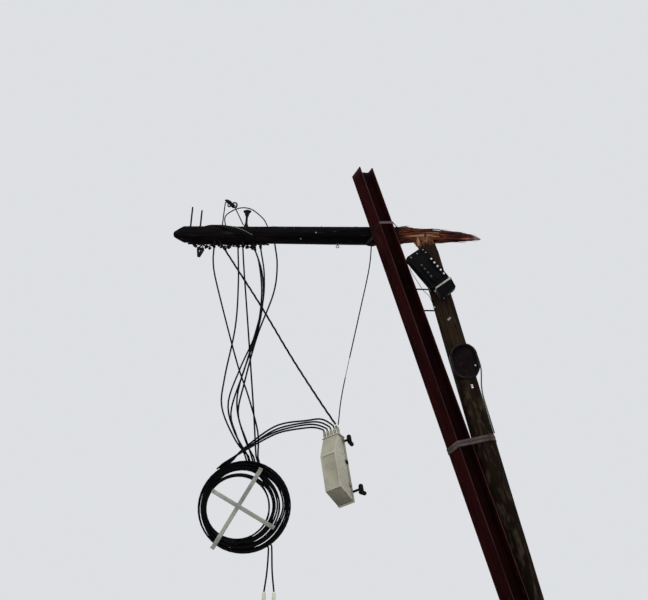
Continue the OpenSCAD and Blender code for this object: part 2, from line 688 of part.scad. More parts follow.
// A lug: an arm from the tray's edge, an upright lobe on it and a slanted one below.
module splice_lug(z, arm, slant) {
    translate([splice_top_d - lug_t / 2, -splice_w / 2 - 4 - fit - arm, z]) {
        translate([-lug_t / 2, 0, -8]) cube([lug_t, arm, 16]);
        rotate([0, -90, 0]) translate([0, 0, -lug_t / 2]) linear_extrude(lug_t) stadium_lobes(slant);
    }
}
module stadium_lobes(slant) {
    rotate(90) stadium(36, 78);
    translate([-34, -6]) rotate(90 + slant) stadium(32, 66);
}
module splice_lugs() {
    color("#1b1b1b") in_splice() {
        splice_lug(-30, 42, 28);
        splice_lug(-456, 70, 55);
    }
}
// The eye on the splice box's top, from which it hangs.
hanger_x = 76;
hanger_y = -30;
hanger_len = 90;
eye_r = 14;
eye_d = 8;
hanger_eye = from_splice([hanger_x, hanger_y, foot_t + hanger_len]);
module splice_hanger() {
    color("#2a2624") in_splice() translate([hanger_x, hanger_y, foot_t + fit]) {
        cylinder(d = 24, h = 6);
        cylinder(d = eye_d, h = hanger_len - eye_r);
        translate([0, 0, hanger_len]) rotate([90, 0, 0]) rotate_extrude()
            translate([eye_r, 0]) circle(d = eye_d);
    }
}

// The coil: a ring with a rounded square section.
coil_mid = hang + [-2530, 420, 3104];
coil_r = coil_od / 2;
coil_steps = 16;
function soft(v) = sign(v) * pow(abs(v), 0.6);
module cable_coil() {
    core = (coil_od + coil_id) / 4;
    half = (coil_od - coil_id) / 4;
    color("#121212") translate(coil_mid) rotate([90, 0, 0]) rotate_extrude($fn = 72)
        polygon([for (i = [0:coil_steps - 1]) let (a = 360 * i / coil_steps)
            [core + half * soft(cos(a)), coil_t / 2 * soft(sin(a))]]);
}
// A flat arm with its tips turned up, seen from its edge.
module cross_arm(a, left, right, up) {
    lip = 14;
    rotate([0, 0, a]) translate([0, -arm_w / 2, up]) rotate([90, 0, 180]) mirror([1, 0, 0])
        linear_extrude(arm_w) polygon([[-left, 0], [right, 0], [right + lip, lip],
            [right + lip - arm_t, lip + arm_t / 2], [right - arm_t / 2, arm_t],
            [-left + arm_t / 2, arm_t], [-left - lip + arm_t, lip + arm_t / 2], [-left - lip, lip]]);
}
cross_mid = coil_mid - [45, coil_t / 2 + fit, 2];
module coil_cross() {
    color("#8a9088") translate(cross_mid) rotate([90, 0, 0]) {
        cross_arm(-30.5, 216, 306, arm_t / 2);
        cross_arm(60, 350, 318, 0);
        translate([0, 0, 1]) cylinder(d = arm_w * 1.5, h = 2 * arm_t);
    }
}
// A tail leaves the underside of the coil straight down, and its cap hangs below it.
tail_end = -615;
function coil_side(x, off) = coil_mid + [x, 0, off + sqrt(coil_r * coil_r - x * x)];
function coil_under(x, y) = let (dx = abs(x) - cable_d / 2)
    coil_mid + [x, y, 0.6 - sqrt(coil_r * coil_r - dx * dx)];
tail_1 = [coil_under(185, -5), coil_mid + [180, -8, tail_end + 145], coil_mid + [162, -15, tail_end]];
tail_2 = [coil_under(208, -5), coil_mid + [218, -8, tail_end + 145], coil_mid + [234, -15, tail_end]];
module coil_tails() {
    color("#141414") for (p = [tail_1, tail_2]) tube(p, cable_d, 8);
}
module tail_caps() {
    color("#e2e2de") for (p = [tail_1, tail_2]) translate(p[len(p) - 1] - [0, 0, end_cap_len + 1]) {
        cylinder(d = end_cap_d, h = end_cap_len - 14);
        translate([0, 0, end_cap_len - 14]) cylinder(d1 = end_cap_d, d2 = cable_d + 4, h = 14);
    }
}

hang_d = 18;
rope_d = 11;
suspension_route = [on_log(-1420, 150, -10), each hung([[-2765, 400, 5262], [-2655, 374, 5075],
    [-2445, 370, 4730], [-2195, 375, 4295], [-1990, 385, 3965]]),
    hanger_eye + [-8, 0, eye_r + eye_d / 2 + fit + 6]];
rope_route = [on_log(-102, 150, -10), each hung([[-1560, 330, 5055], [-1650, 345, 4635],
    [-1785, 375, 4015]]), hanger_eye + [12, 0, eye_r + eye_d / 2 + fit + 3]];
module suspension_cable() {
    color("#2a2a29") difference() {
        tube(suspension_route, hang_d, 8);
        log_round(fit);
    }
}
module hanger_rope() {
    color("#4a4743") difference() {
        tube(rope_route, rope_d, 8);
        log_round(fit);
    }
}

// What stands on the crown of the fallen top starts at its middle line and is cut to its round.
module on_crown(s, tilt) {
    difference() {
        on_fallen(s) rotate([-90, 0, 0]) rotate([0, tilt, 0]) children();
        log_round(fit);
        on_fallen(s) cylinder(d = head_d - 4, h = 3 * head_d, center = true);
    }
}
pin_tilt = 4;
pin_1 = 46 - head_reach;
pin_2 = pin_1 + 86;
module head_pins() {
    color("#26221f") {
        on_crown(pin_1, -pin_tilt) cylinder(d = pin_d, h = fallen_r(pin_1) + pin_len);
        on_crown(pin_2, -pin_tilt) cylinder(d = pin_d, h = fallen_r(pin_2) + pin_len * 0.84);
    }
}
// The bolt: a flared foot, a shank and a mushroom head.
bolt_s = -1188;
module head_bolt() {
    top = fallen_r(bolt_s) + bolt_len;
    foot = fallen_r(bolt_s) + 10;
    head = bolt_head_d / 2;
    color("#2d2926") on_crown(bolt_s, -pin_tilt) rotate_extrude()
        polygon([[0, 0], [22, 0], [20, foot], [11, foot + 26], [10, top - 34], [13, top - 30],
            [14, top - 18], [head - 6, top - 24], [head, top - 28], [head, top - 20],
            [head * 0.6, top - 5], [0, top]]);
}
// The clamp: a spiral grip and an eye, held by two strands.
grip_a = over_log(-1398, 342);
grip_b = over_log(-1330, 302);
grip_d = 34;
clamp_eye = over_log(-1312, 291);
module dead_end_clamp() {
    color("#3a3733") {
        swept([grip_a, (grip_a * 3 + grip_b) / 4, (grip_a + grip_b * 3) / 4, grip_b],
            [grip_d * 0.3, grip_d / 2, grip_d / 2, grip_d * 0.35], 8);
        translate(clamp_eye) rotate([90, 0, -fallen_yaw]) rotate_extrude()
            translate([24, 0]) circle(d = 13, $fn = 24);
    }
}
strand_d = 8;
strand_1 = [over_log(-1394, 317), over_log(-1398, fallen_r(-1398) + 1)];
strand_2 = [over_log(-1300.2, 262.2), over_log(bolt_s - 26, fallen_r(bolt_s) + 22)];
module clamp_strands() {
    color("#242322") {
        tube(strand_1, strand_d, 8);
        tube(strand_2, strand_d, 8);
    }
}
slack_front = 26;
slack_path = [[-1362, 0], [-1376, 152], [-1340, 205], [-1249, 249], [-1150, 235], [-1044, 148],
    [-998, 0]];
slack_route = [for (q = slack_path)
    let (r = fallen_r(q[0]), top = sqrt(r * r - slack_front * slack_front))
        over_log(q[0], q[1] > 0 ? q[1] : top + 2.9) - fallen_back * slack_front];
module slack_loop() { color("#1c1c1c") tube(slack_route, 10, 8); }
// A hanging clamp: an eye screw in the underside and a wedge that hangs from it.
clamp_s = -1560;
module cable_clamp() {
    r = fallen_r(clamp_s);
    color("#2a2724") {
        difference() {
            on_fallen(clamp_s) rotate([90, 0, 0]) cylinder(d = 12, h = r + 40);
            log_round(fit);
            on_fallen(clamp_s) cylinder(d = head_d - 4, h = 3 * head_d, center = true);
        }
        on_fallen(clamp_s) translate([0, -r - 50, 0]) rotate([0, 90, 0]) rotate_extrude()
            translate([15, 0]) circle(d = 9, $fn = 24);
        on_fallen(clamp_s) translate([-14, -r - 62, 0]) rotate([0, 90, 0]) rotate([0, 0, 25])
            linear_extrude(28) polygon([[-18, 0], [18, 0], [30, -62], [12, -78], [-14, -66]]);
    }
}

// Under the head: a clamp at the top of each hanging cable, on a stem from the fallen top, or from
// the trunk cables where they pass over it. Each cable lies in its own layer from front to back.
function onto_coil(x, y) = [coil_side(x - 14, 48) + [0, y, 0], coil_side(x, 3) + [0, y, 0]];
function drop_route(p, x, y) = concat(hung(p), onto_coil(x, y));
drop_1 = drop_route([[-2865, 446, 5320], [-2866, 446, 5170], [-2825, 446, 4960], [-2640, 446, 4295],
    [-2535, 446, 3995], [-2450, 446, 3700]], 102, 20);
drop_2 = drop_route([[-2665, 474, 5325], [-2650, 474, 5000], [-2660, 474, 4595], [-2730, 474, 4150],
    [-2740, 474, 3900], [-2620, 464, 3630]], 30, 28);
drop_3 = drop_route([[-2620, 425, 5310], [-2600, 390, 5085], [-2565, 390, 4725], [-2515, 390, 4200],
    [-2478, 390, 3800]], 90, -20);
drop_4 = drop_route([[-2525, 425, 5295], [-2478, 404, 5150], [-2447, 404, 4860], [-2480, 404, 4530],
    [-2600, 404, 4210], [-2685, 404, 3920], [-2630, 404, 3690]], 22, -16);
drop_5 = drop_route([[-2468, 432, 5290], [-2432, 432, 5040], [-2445, 432, 4740], [-2560, 432, 4245],
    [-2662, 432, 3870], [-2615, 432, 3670]], 4, 7);
drop_6 = drop_route([[-2350, 420, 5335], [-2325, 418, 5130], [-2350, 418, 4870], [-2470, 418, 4490],
    [-2565, 418, 4090], [-2605, 418, 3835], [-2530, 418, 3610]], 52, -2);
drop_7 = drop_route([[-2515, 462, 5285], [-2455, 460, 5090], [-2438, 460, 4840], [-2478, 460, 4540],
    [-2600, 460, 4120], [-2618, 460, 3880], [-2540, 460, 3620]], 68, 22);
module drop(p) { color("#161616") tube(p, drop_d, 8); }
module drop_cable_1() { drop(drop_1); }
module drop_cable_2() { drop(drop_2); }
module drop_cable_3() { drop(drop_3); }
module drop_cable_4() { drop(drop_4); }
module drop_cable_5() { drop(drop_5); }
module drop_cable_6() { drop(drop_6); }
module drop_cable_7() { drop(drop_7); }
hook_h = 28;
drops = [drop_1, drop_2, drop_3, drop_4, drop_5, drop_6, drop_7];
module facing(p, d) { translate(p) rotate([0, acos(d.z), atan2(d.y, d.x)]) children(); }
module cable_hooks() {
    color("#34302c") for (i = [0:6]) {
        p = drops[i];
        s = (p[0].x - fallen_mid.x) / fallen_dir.x;
        up = unit(p[0] - p[1]);
        under_trunk = i == 3 || i == 4;
        difference() {
            union() {
                facing(p[0] + up * fit, up) cylinder(d1 = drop_d + 6, d2 = clamp_d, h = hook_h);
                translate(p[0] + up * hook_h / 2)
                    cylinder(d = 12, h = fallen_at(s).z - p[0].z - hook_h / 2);
            }
            log_round(under_trunk ? lash_d + 3 * fit : fit);
        }
    }
}
// The trunk cables wind from the back of the head over its front and under it, side by side.
lash_d = 13;
trunk_lay = [[-1620, -45], [-1580, -28], [-1540, -12], [-1497, 5], [-1456, 22], [-1413, 37],
    [-1370, 52], [-1325, 68], [-1280, 84], [-1235, 101], [-1190, 118], [-1150, 134],
    [-1112, 150], [-1078, 164], [-1048, 178], [-1036, 189], [-1028, 200], [-1020, 214]];
trunk_gap = 32;
lash_off = lash_d / 2 + 4 * fit;
module head_lashing() {
    color("#161616") for (i = [0:trunk_n - 1]) let (k = i - (trunk_n - 1) / 2)
        tube([for (q = trunk_lay) on_log(q.x + k * trunk_gap, q.y, lash_off)], lash_d, 8);
}
// A light strand lies beside them, on the fallen top's upper front.
strand_s = 82;
module crown_strand() {
    color("#8f908c") tube([for (i = [5:10]) on_log(trunk_lay[i].x + strand_s, trunk_lay[i].y,
        strand_d / 2 + 2 * fit)], strand_d, 8);
}
under_d = 14;
under_mid = 222;
under_step = 12;
// The trunk cables run along the underside of the head.
module under_cables() {
    color("#171616") for (side = [-1, 1])
        tube([for (i = [0:6])
            on_log(-1690 + 94 * i, under_mid + side * under_step, under_d / 2 + fit)], under_d, 8);
}

// A feed runs from the coil's upper left to a sleeve of the splice box.
function into_sleeve(i) = [sleeve_top(i) + splice_dir * 20, sleeve_top(i)];
function feed_route(x, y, p, i) = concat([coil_side(x, 6) + [0, y, 0],
    coil_side(x, 42) + [40, y - 14, 0]], hung(p), into_sleeve(i));
feed_1 = feed_route(-146, 10, [[-2545, 385, 3550], [-2305, 374, 3722], [-2065, 380, 3768],
    [-1948, 380, 3778]], 1);
feed_2 = feed_route(-167, -9, [[-2440, 360, 3606], [-2280, 360, 3700], [-2070, 372, 3749],
    [-1962, 384, 3754]], 2);
feed_3 = feed_route(-183, -23, [[-2440, 345, 3596], [-2280, 345, 3676], [-2090, 362, 3726],
    [-1990, 376, 3732]], 3);
feed_4 = feed_route(-200, -37, [[-2440, 328, 3572], [-2275, 328, 3656], [-2090, 350, 3698],
    [-2000, 372, 3709]], 4);
module feed(p) { color("#141414") tube(p, drop_d, 8); }
module box_feed_1() { feed(feed_1); }
module box_feed_2() { feed(feed_2); }
module box_feed_3() { feed(feed_3); }
module box_feed_4() { feed(feed_4); }

steel_beam();
pole_stub();
stub_splinters();
fallen_top();
torn_splinters();
upper_lashing();
lower_lashing();
lashing_buckle();
tie_rods();
terminal_box();
terminal_cover();
terminal_plugs();
terminal_ports();
terminal_tail();
terminal_strap();
terminal_bracket();
terminal_screws();
earth_wire();
wire_bolt();
oval_plate();
oval_rim();
plate_bolts();
riser_cable();
splice_back();
splice_seal();
splice_cover();
splice_glands();
splice_latches();
splice_lugs();
splice_hanger();
cable_coil();
coil_cross();
coil_tails();
tail_caps();
suspension_cable();
hanger_rope();
head_pins();
head_bolt();
dead_end_clamp();
clamp_strands();
slack_loop();
cable_clamp();
cable_hooks();
head_lashing();
crown_strand();
under_cables();
drop_cable_1();
drop_cable_2();
drop_cable_3();
drop_cable_4();
drop_cable_5();
drop_cable_6();
drop_cable_7();
box_feed_1();
box_feed_2();
box_feed_3();
box_feed_4();
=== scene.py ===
import random
from math import acos, atan2, copysign, cos, degrees, exp, hypot, pi, radians, sin, sqrt, tau

import bmesh
import bpy
from mathutils import Matrix, Vector, noise


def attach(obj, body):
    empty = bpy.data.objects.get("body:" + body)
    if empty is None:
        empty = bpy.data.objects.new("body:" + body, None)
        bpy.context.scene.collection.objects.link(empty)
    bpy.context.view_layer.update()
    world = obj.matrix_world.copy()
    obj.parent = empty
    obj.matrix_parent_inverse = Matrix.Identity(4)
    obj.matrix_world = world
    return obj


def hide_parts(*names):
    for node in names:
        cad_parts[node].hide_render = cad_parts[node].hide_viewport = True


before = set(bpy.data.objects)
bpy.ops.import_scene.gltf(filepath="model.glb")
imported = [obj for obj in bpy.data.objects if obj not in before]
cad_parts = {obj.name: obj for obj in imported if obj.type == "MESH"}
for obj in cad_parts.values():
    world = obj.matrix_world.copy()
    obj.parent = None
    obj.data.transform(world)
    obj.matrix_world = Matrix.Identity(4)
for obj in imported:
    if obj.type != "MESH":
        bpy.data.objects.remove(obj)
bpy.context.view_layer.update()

scene = bpy.context.scene
# fixed seeds, so that each run gives the same shapes
chance = random.Random(7)
noise.seed_set(7)
between = chance.uniform
up = Vector((0, 0, 1))
gap = 0.0003  # what the solids keep between pieces that seat on each other
buried = 0.06  # how far the pole and the beam run on below the ground, before they are cut there

# the shared frame
pole = {"foot": 0.190, "top": 0.158, "breakHeight": 5.130, "tongue": 0.090, "lean": 12.2, "back": 0.8}
beam = {"width": 0.140, "depth": 0.133, "flange": 0.0085, "web": 0.0055, "root": 0.012, "top": 5.915,
        "bearing": 1.750, "lean": 15.15, "back": 4.6, "turn": 28}
log = {"head": 0.142, "tear": 0.156, "headReach": 1.720, "tearReach": 0.150,
       "cross": 5.372, "yaw": 5.4, "drop": 3.4, "cap": 0.095}
boxAt = {"height": 4.852, "left": 0.079, "tilt": 36, "gap": 0.032}
plateAt = {"height": 4.100, "right": 0.013}


# x first, then y, then z, in degrees
def turn(x=0, y=0, z=0):
    return (Matrix.Rotation(radians(z), 4, "Z") @ Matrix.Rotation(radians(y), 4, "Y")
            @ Matrix.Rotation(radians(x), 4, "X"))


def shift(x, y=None, z=None):
    return Matrix.Translation(x if y is None else (x, y, z))


poleTurn = turn(-pole["back"], -pole["lean"])
poleDir = poleTurn @ up


def poleAt(height):
    return poleDir * (height / poleDir.z)


def poleRadius(height):
    return (pole["foot"] + (pole["top"] - pole["foot"]) * height / pole["breakHeight"]) / 2


def onPole(height):
    return shift(poleAt(height)) @ poleTurn


beamTurn = turn(-beam["back"], -beam["lean"])
beamFull = beamTurn @ turn(z=beam["turn"])
beamDir = beamTurn @ up
rearCorner = beamFull @ Vector((beam["depth"] / 2, beam["width"] / 2, 0))
beamMid = (poleAt(beam["bearing"]) + poleDir.cross(beamDir).normalized() * (poleRadius(beam["bearing"]) + gap)
           - rearCorner)


def beamAt(height):
    return beamMid + beamDir * ((height - beamMid.z) / beamDir.z)


def onBeam(height):
    return shift(beamAt(height)) @ beamFull


logDir = turn(z=-log["yaw"]) @ Vector((cos(radians(log["drop"])), 0, -sin(radians(log["drop"]))))


def logRadius(s):
    return (log["tear"] + (log["head"] - log["tear"]) * (log["tearReach"] - s)
            / (log["tearReach"] + log["headReach"])) / 2


logMid = beamAt(log["cross"]) + rearCorner + beamDir.cross(logDir).normalized() * (logRadius(0) + gap)
logBack = up.cross(logDir).normalized()
logUp = logDir.cross(logBack)
logTurn = turn(z=-log["yaw"]) @ turn(y=log["drop"]) @ turn(y=90) @ turn(z=90)


def logAt(s):
    return logMid + logDir * s


# A point beside the fallen top: angle 0 is its crown and 90 its front
def logFace(s, angle, off):
    a = radians(angle)
    return logAt(s) + (logRadius(s) + off) * (logUp * cos(a) - logBack * sin(a))


def logOver(s, height, front=0.0):
    return logAt(s) + logUp * height - logBack * front


def onLog(s):
    return shift(logAt(s)) @ logTurn


hang = logMid - Vector((-1.425, 0.350, 5.367))
spliceMid = hang + Vector((-1.885, 0.350, 3.631))
spliceLean = turn(-12, -8)
inSplice = shift(spliceMid) @ spliceLean @ turn(z=61)
spliceUp = spliceLean @ up
coilMid = hang + Vector((-2.530, 0.420, 3.104))
boxOut = poleRadius(boxAt["height"]) + boxAt["gap"]
inBox = shift(poleAt(boxAt["height"]) + Vector((-boxAt["left"], -boxOut, 0))) @ turn(y=-boxAt["tilt"])
onPlate = onPole(plateAt["height"]) @ shift(plateAt["right"], 0, 0)

# camera, with the photo's width and focal length in pixels
view = {"place": (-1.933, -6.790, 1.6), "up": 24, "focal": 957, "across": 648, "sensor": 36}
cameraData = bpy.data.cameras.new("camera")
cameraData.sensor_width = view["sensor"]
cameraData.lens = view["focal"] / view["across"] * view["sensor"]
camera = bpy.data.objects.new("camera", cameraData)
camera.location = view["place"]
camera.rotation_euler = (radians(90 + view["up"]), 0, 0)
scene.collection.objects.link(camera)
scene.camera = camera


# finishes
def nodeIn(tree, kind, inputs=None, **settings):
    node = tree.nodes.new(kind)
    for key, value in settings.items():
        setattr(node, key, value)
    for key, value in (inputs or {}).items():
        node.inputs[key].default_value = value
    return node


# A colour as a picture shows it, 0 to 255, to the numbers that a shader takes
def linear(colour):
    return tuple((c / 255 / 12.92) if c <= 10 else ((c / 255 + 0.055) / 1.055) ** 2.4 for c in colour) + (1,)


def ramp(tree, source, stops):
    node = nodeIn(tree, "ShaderNodeValToRGB")
    points = node.color_ramp.elements
    points[0].position, points[1].position = stops[0][0], stops[-1][0]
    for position, colour in stops[1:-1]:
        points.new(position)
    for point, (position, colour) in zip(points, stops):
        point.position = position
        point.color = colour if len(colour) == 4 else linear(colour)
    tree.links.new(source, node.inputs["Fac"])
    return node.outputs["Color"]


def blended(tree, factor, a, b, mode="MIX"):
    node = nodeIn(tree, "ShaderNodeMix", data_type="RGBA", blend_type=mode)
    for socket, value in ((node.inputs[0], factor), (node.inputs[6], a), (node.inputs[7], b)):
        if isinstance(value, (float, int)):
            socket.default_value = value
        elif isinstance(value, tuple):
            socket.default_value = value if len(value) == 4 else linear(value)
        else:
            tree.links.new(value, socket)
    return node.outputs[2]


def mapped(tree, coords, inputs):
    place = nodeIn(tree, "ShaderNodeMapping", inputs)
    tree.links.new(coords, place.inputs["Vector"])
    return place.outputs[0]


def noiseIn(tree, coords, scale, stretch, detail, rough=0.55, distort=0.0):
    place = mapped(tree, coords, {"Scale": Vector(stretch) * scale})
    node = nodeIn(tree, "ShaderNodeTexNoise", {"Scale": 1.0, "Detail": detail, "Roughness": rough,
                                               "Distortion": distort})
    tree.links.new(place, node.inputs["Vector"])
    return node.outputs["Fac"]


# Distance to the nearest cell's edge: thin cracks and flakes
def cellsIn(tree, coords, scale, stretch):
    place = mapped(tree, coords, {"Scale": Vector(stretch) * scale})
    node = nodeIn(tree, "ShaderNodeTexVoronoi", {"Scale": 1.0, "Randomness": 1.0}, feature="DISTANCE_TO_EDGE")
    tree.links.new(place, node.inputs["Vector"])
    return node.outputs["Distance"]


def graded(tree, source, low, high, first=0.0, last=1.0):
    node = nodeIn(tree, "ShaderNodeMapRange",
                  {"From Min": low, "From Max": high, "To Min": first, "To Max": last})
    tree.links.new(source, node.inputs["Value"])
    return node.outputs["Result"]


# One weathered finish: its tones take turns from patch to patch; marks are (attribute, colour)
def finish(name, tones, patch=20, grain=120, stretch=(1, 1, 1), aligned=None, mottle=0.3, speck=None,
           cracks=None, marks=(), rough=(0.75, 0.95), bump=0.15, depth=0.0006, metal=0.0, shine=0.5):
    material = bpy.data.materials.new(name)
    material.use_nodes = True
    tree = material.node_tree
    shader = tree.nodes["Principled BSDF"]
    coords = nodeIn(tree, "ShaderNodeTexCoord").outputs["Object"]
    if aligned:
        coords = mapped(tree, coords, {"Rotation": tuple(radians(a) for a in aligned)})
    patches = noiseIn(tree, coords, patch, tuple(1 if s == 1 else s * 2 for s in stretch), detail=5.0)
    grains = noiseIn(tree, coords, grain, stretch, detail=8.0, rough=0.65)
    stops = [(0.30 + 0.4 * i / max(1, len(tones) - 1), tone) for i, tone in enumerate(tones)]
    colour = ramp(tree, patches, stops)
    shade = ramp(tree, grains, [(0.28, (1 - mottle,) * 3 + (1,)), (0.50, (1, 1, 1, 1)),
                                (0.72, (1 + mottle * 0.8,) * 3 + (1,))])
    colour = blended(tree, 1.0, colour, shade, "MULTIPLY")
    height = grains
    if speck:
        spots = noiseIn(tree, coords, speck["scale"], speck.get("stretch", (1, 1, 1)), detail=3.0,
                        distort=0.4)
        mask = graded(tree, spots, speck["from"], speck["from"] + 0.06)
        colour = blended(tree, mask, colour, speck["colour"])
    if cracks:
        edge = cellsIn(tree, coords, cracks["scale"], cracks["stretch"])
        line = graded(tree, edge, 0.0, cracks["width"], 1.0, 0.0)
        broken = noiseIn(tree, coords, cracks["scale"] * 0.6, stretch, detail=2.0)
        line = blended(tree, 1.0, line, graded(tree, broken, 0.42, 0.58), "MULTIPLY")
        colour = blended(tree, line, colour, cracks["colour"])
        height = blended(tree, line, height, (0.0, 0.0, 0.0, 1.0))
    for attribute, tone in marks:
        mark = nodeIn(tree, "ShaderNodeAttribute", attribute_name=attribute).outputs["Fac"]
        rugged = blended(tree, 1.0, mark, graded(tree, grains, 0.25, 0.55, 0.55, 1.0), "MULTIPLY")
        colour = blended(tree, rugged, colour, tone)
    tree.links.new(colour, shader.inputs["Base Color"])
    tree.links.new(graded(tree, grains, 0.3, 0.7, rough[1], rough[0]), shader.inputs["Roughness"])
    shader.inputs["Metallic"].default_value = metal
    shader.inputs["Specular IOR Level"].default_value = shine
    relief = nodeIn(tree, "ShaderNodeBump", {"Strength": bump, "Distance": depth})
    tree.links.new(height, relief.inputs["Height"])
    tree.links.new(relief.outputs[0], shader.inputs["Normal"])
    return material


alongPole = (0, pole["lean"], 0)
alongBeam = (0, beam["lean"], 0)
alongLog = {"stretch": (0.05, 1, 1), "aligned": (0, 0, log["yaw"])}
# Rust over primer. Its lighter mark is wear in patches plus a painted highlight along the beam's flange tips;
# its darkest mark is painted shade inside the channel between the flanges, plus random dark patches.
rust = finish("rustOverPrimer", [(12, 2, 3), (23, 4, 5), (38, 8, 9), (28, 5, 6)], patch=7, grain=90,
              stretch=(1, 1, 0.12), aligned=alongBeam, mottle=0.45,
              speck={"scale": 55, "from": 0.64, "colour": (58, 25, 19), "stretch": (1, 1, 0.35)},
              marks=[("wearAndHighlight", (70, 47, 47)), ("sootAndShade", (11, 2, 3))], rough=(0.66, 0.9), bump=0.45,
              depth=0.0015, shine=0.02)
darkWood = finish("weatheredPole", [(17, 11, 8), (29, 20, 15), (42, 31, 23), (24, 17, 13)], patch=5,
                  stretch=(1, 1, 0.05), aligned=alongPole, mottle=0.5,
                  speck={"scale": 9, "from": 0.60, "colour": (38, 34, 26), "stretch": (1, 1, 0.3)},
                  cracks={"scale": 42, "stretch": (1, 1, 0.035), "width": 0.05, "colour": (14, 10, 8)},
                  marks=[("damp", (12, 6, 3)), ("split", (8, 6, 5)), ("pale", (62, 52, 42)),
                         ("stain", (7, 5, 5)), ("mossy", (58, 53, 40))], bump=0.7, depth=0.003, shine=0.03)
tarredWood = finish("tarredTop", [(3, 2, 3), (8, 6, 7), (16, 12, 13), (6, 4, 5)], patch=5, grain=110,
                    **alongLog, mottle=0.55,
                    speck={"scale": 26, "from": 0.66, "colour": (34, 27, 29), "stretch": (0.3, 1, 1)},
                    cracks={"scale": 40, "stretch": (0.04, 1, 1), "width": 0.05, "colour": (6, 5, 5)},
                    marks=[("split", (3, 3, 3)), ("pale", (40, 31, 34))], rough=(0.66, 0.92), bump=0.7,
                    depth=0.003, shine=0.03)
# Torn wood; its dark mark is partly painted shade in the crevices between fibre bundles, and also darkens the
# wood near the rims and beside the beam.
tornWood = finish("tornWood", [(44, 19, 13), (76, 36, 23), (104, 55, 36), (56, 26, 18)], patch=16, grain=150,
                  **alongLog, mottle=0.5,
                  cracks={"scale": 90, "stretch": (0.03, 1, 1), "width": 0.07, "colour": (24, 11, 9)},
                  marks=[("plum", (70, 31, 32)), ("pale", (186, 140, 106)), ("ashen", (150, 134, 136)),
                         ("dark", (14, 5, 6))], rough=(0.72, 0.92), bump=0.8, depth=0.002, shine=0.08)
paleWood = finish("paleSplinters", [(98, 62, 46), (132, 94, 74), (156, 120, 98)], patch=18, grain=170,
                  **alongLog, mottle=0.35, rough=(0.7, 0.9), bump=0.5, depth=0.0015, shine=0.1)
greyWood = finish("greySplinters", [(58, 48, 47), (88, 78, 76), (116, 108, 104)], patch=18, grain=170,
                  **alongLog, mottle=0.35, bump=0.5, depth=0.0015, shine=0.1)
barkWood = finish("barkEdge", [(10, 4, 5), (20, 9, 8), (36, 17, 13)], patch=14, stretch=(0.06, 1, 1),
                  aligned=alongLog["aligned"], mottle=0.5, bump=0.6, depth=0.002, shine=0.05)
breakWood = finish("breakWood", [(52, 30, 21), (82, 50, 35), (108, 74, 54)], patch=18, grain=150,
                   stretch=(1, 1, 0.06), aligned=alongPole, mottle=0.45,
                   cracks={"scale": 80, "stretch": (1, 1, 0.05), "width": 0.07, "colour": (40, 24, 16)},
                   bump=0.6, depth=0.002, shine=0.06)
strapSteel = finish("weatheredStrap", [(42, 36, 33), (60, 52, 48), (86, 77, 71)], patch=14, grain=140,
                    speck={"scale": 70, "from": 0.62, "colour": (54, 32, 24)}, rough=(0.5, 0.8), bump=0.3,
                    metal=0.2, shine=0.3)
dimStrap = finish("dimStrap", [(16, 10, 12), (26, 17, 20), (38, 28, 32)], patch=14, grain=140,
                  marks=[("bare", (82, 72, 80))], rough=(0.6, 0.85), bump=0.3, shine=0.1)
blackPlastic = finish("blackHousing", [(3, 2, 4), (6, 5, 7), (11, 10, 12)], patch=10, grain=200, mottle=0.25,
                      speck={"scale": 34, "from": 0.66, "colour": (24, 22, 24)}, rough=(0.5, 0.72),
                      depth=0.0004, shine=0.04)
portPlastic = finish("paleCaps", [(168, 170, 172), (196, 198, 200), (212, 213, 214)], patch=22, grain=160,
                     mottle=0.14, speck={"scale": 120, "from": 0.64, "colour": (120, 118, 112)},
                     rough=(0.35, 0.55), depth=0.0003)
portDull = finish("dullCaps", [(24, 24, 27), (38, 38, 42), (52, 52, 56)], patch=22, grain=160, mottle=0.2,
                  rough=(0.45, 0.65), depth=0.0003)
greenSteel = finish("greyGreenPaint", [(102, 106, 98), (130, 133, 124), (150, 152, 142)], patch=12, grain=130,
                    mottle=0.22, speck={"scale": 60, "from": 0.66, "colour": (96, 78, 60)},
                    rough=(0.45, 0.72), bump=0.25, depth=0.0005, metal=0.1)
dullStrap = finish("dullBand", [(104, 110, 98), (134, 140, 126), (158, 162, 150)], grain=160, mottle=0.2,
                   rough=(0.4, 0.65), bump=0.2, depth=0.0004, metal=0.2)
darkPaint = finish("darkBracketPaint", [(13, 12, 12), (20, 18, 18), (30, 27, 27)], patch=12, grain=140,
                   speck={"scale": 60, "from": 0.64, "colour": (70, 46, 34)}, rough=(0.5, 0.78), bump=0.25,
                   shine=0.08)
zinc = finish("galvanised", [(150, 150, 146), (186, 186, 182), (206, 206, 202)], patch=60, grain=200,
              mottle=0.16, rough=(0.32, 0.5), depth=0.0003, metal=0.7)
dullZinc = finish("dullZinc", [(84, 84, 84), (118, 118, 118), (146, 146, 144)], patch=60, grain=200,
                  mottle=0.2, rough=(0.4, 0.6), depth=0.0003, metal=0.3)
# The plate's plastic; its lighter mark on the rim's front is wear with a painted highlight along the edge.
plumPlastic = finish("fadedPlate", [(7, 3, 5), (13, 7, 9), (21, 13, 15)], patch=12,
                     speck={"scale": 46, "from": 0.64, "colour": (34, 24, 26)},
                     marks=[("wearAndHighlight", (46, 40, 41))], rough=(0.6, 0.82), bump=0.25, shine=0.04)
greySheath = finish("greySheath", [(56, 56, 52), (76, 76, 70), (96, 95, 88)], patch=14, mottle=0.22,
                    rough=(0.5, 0.72), bump=0.2, depth=0.0004, shine=0.2)
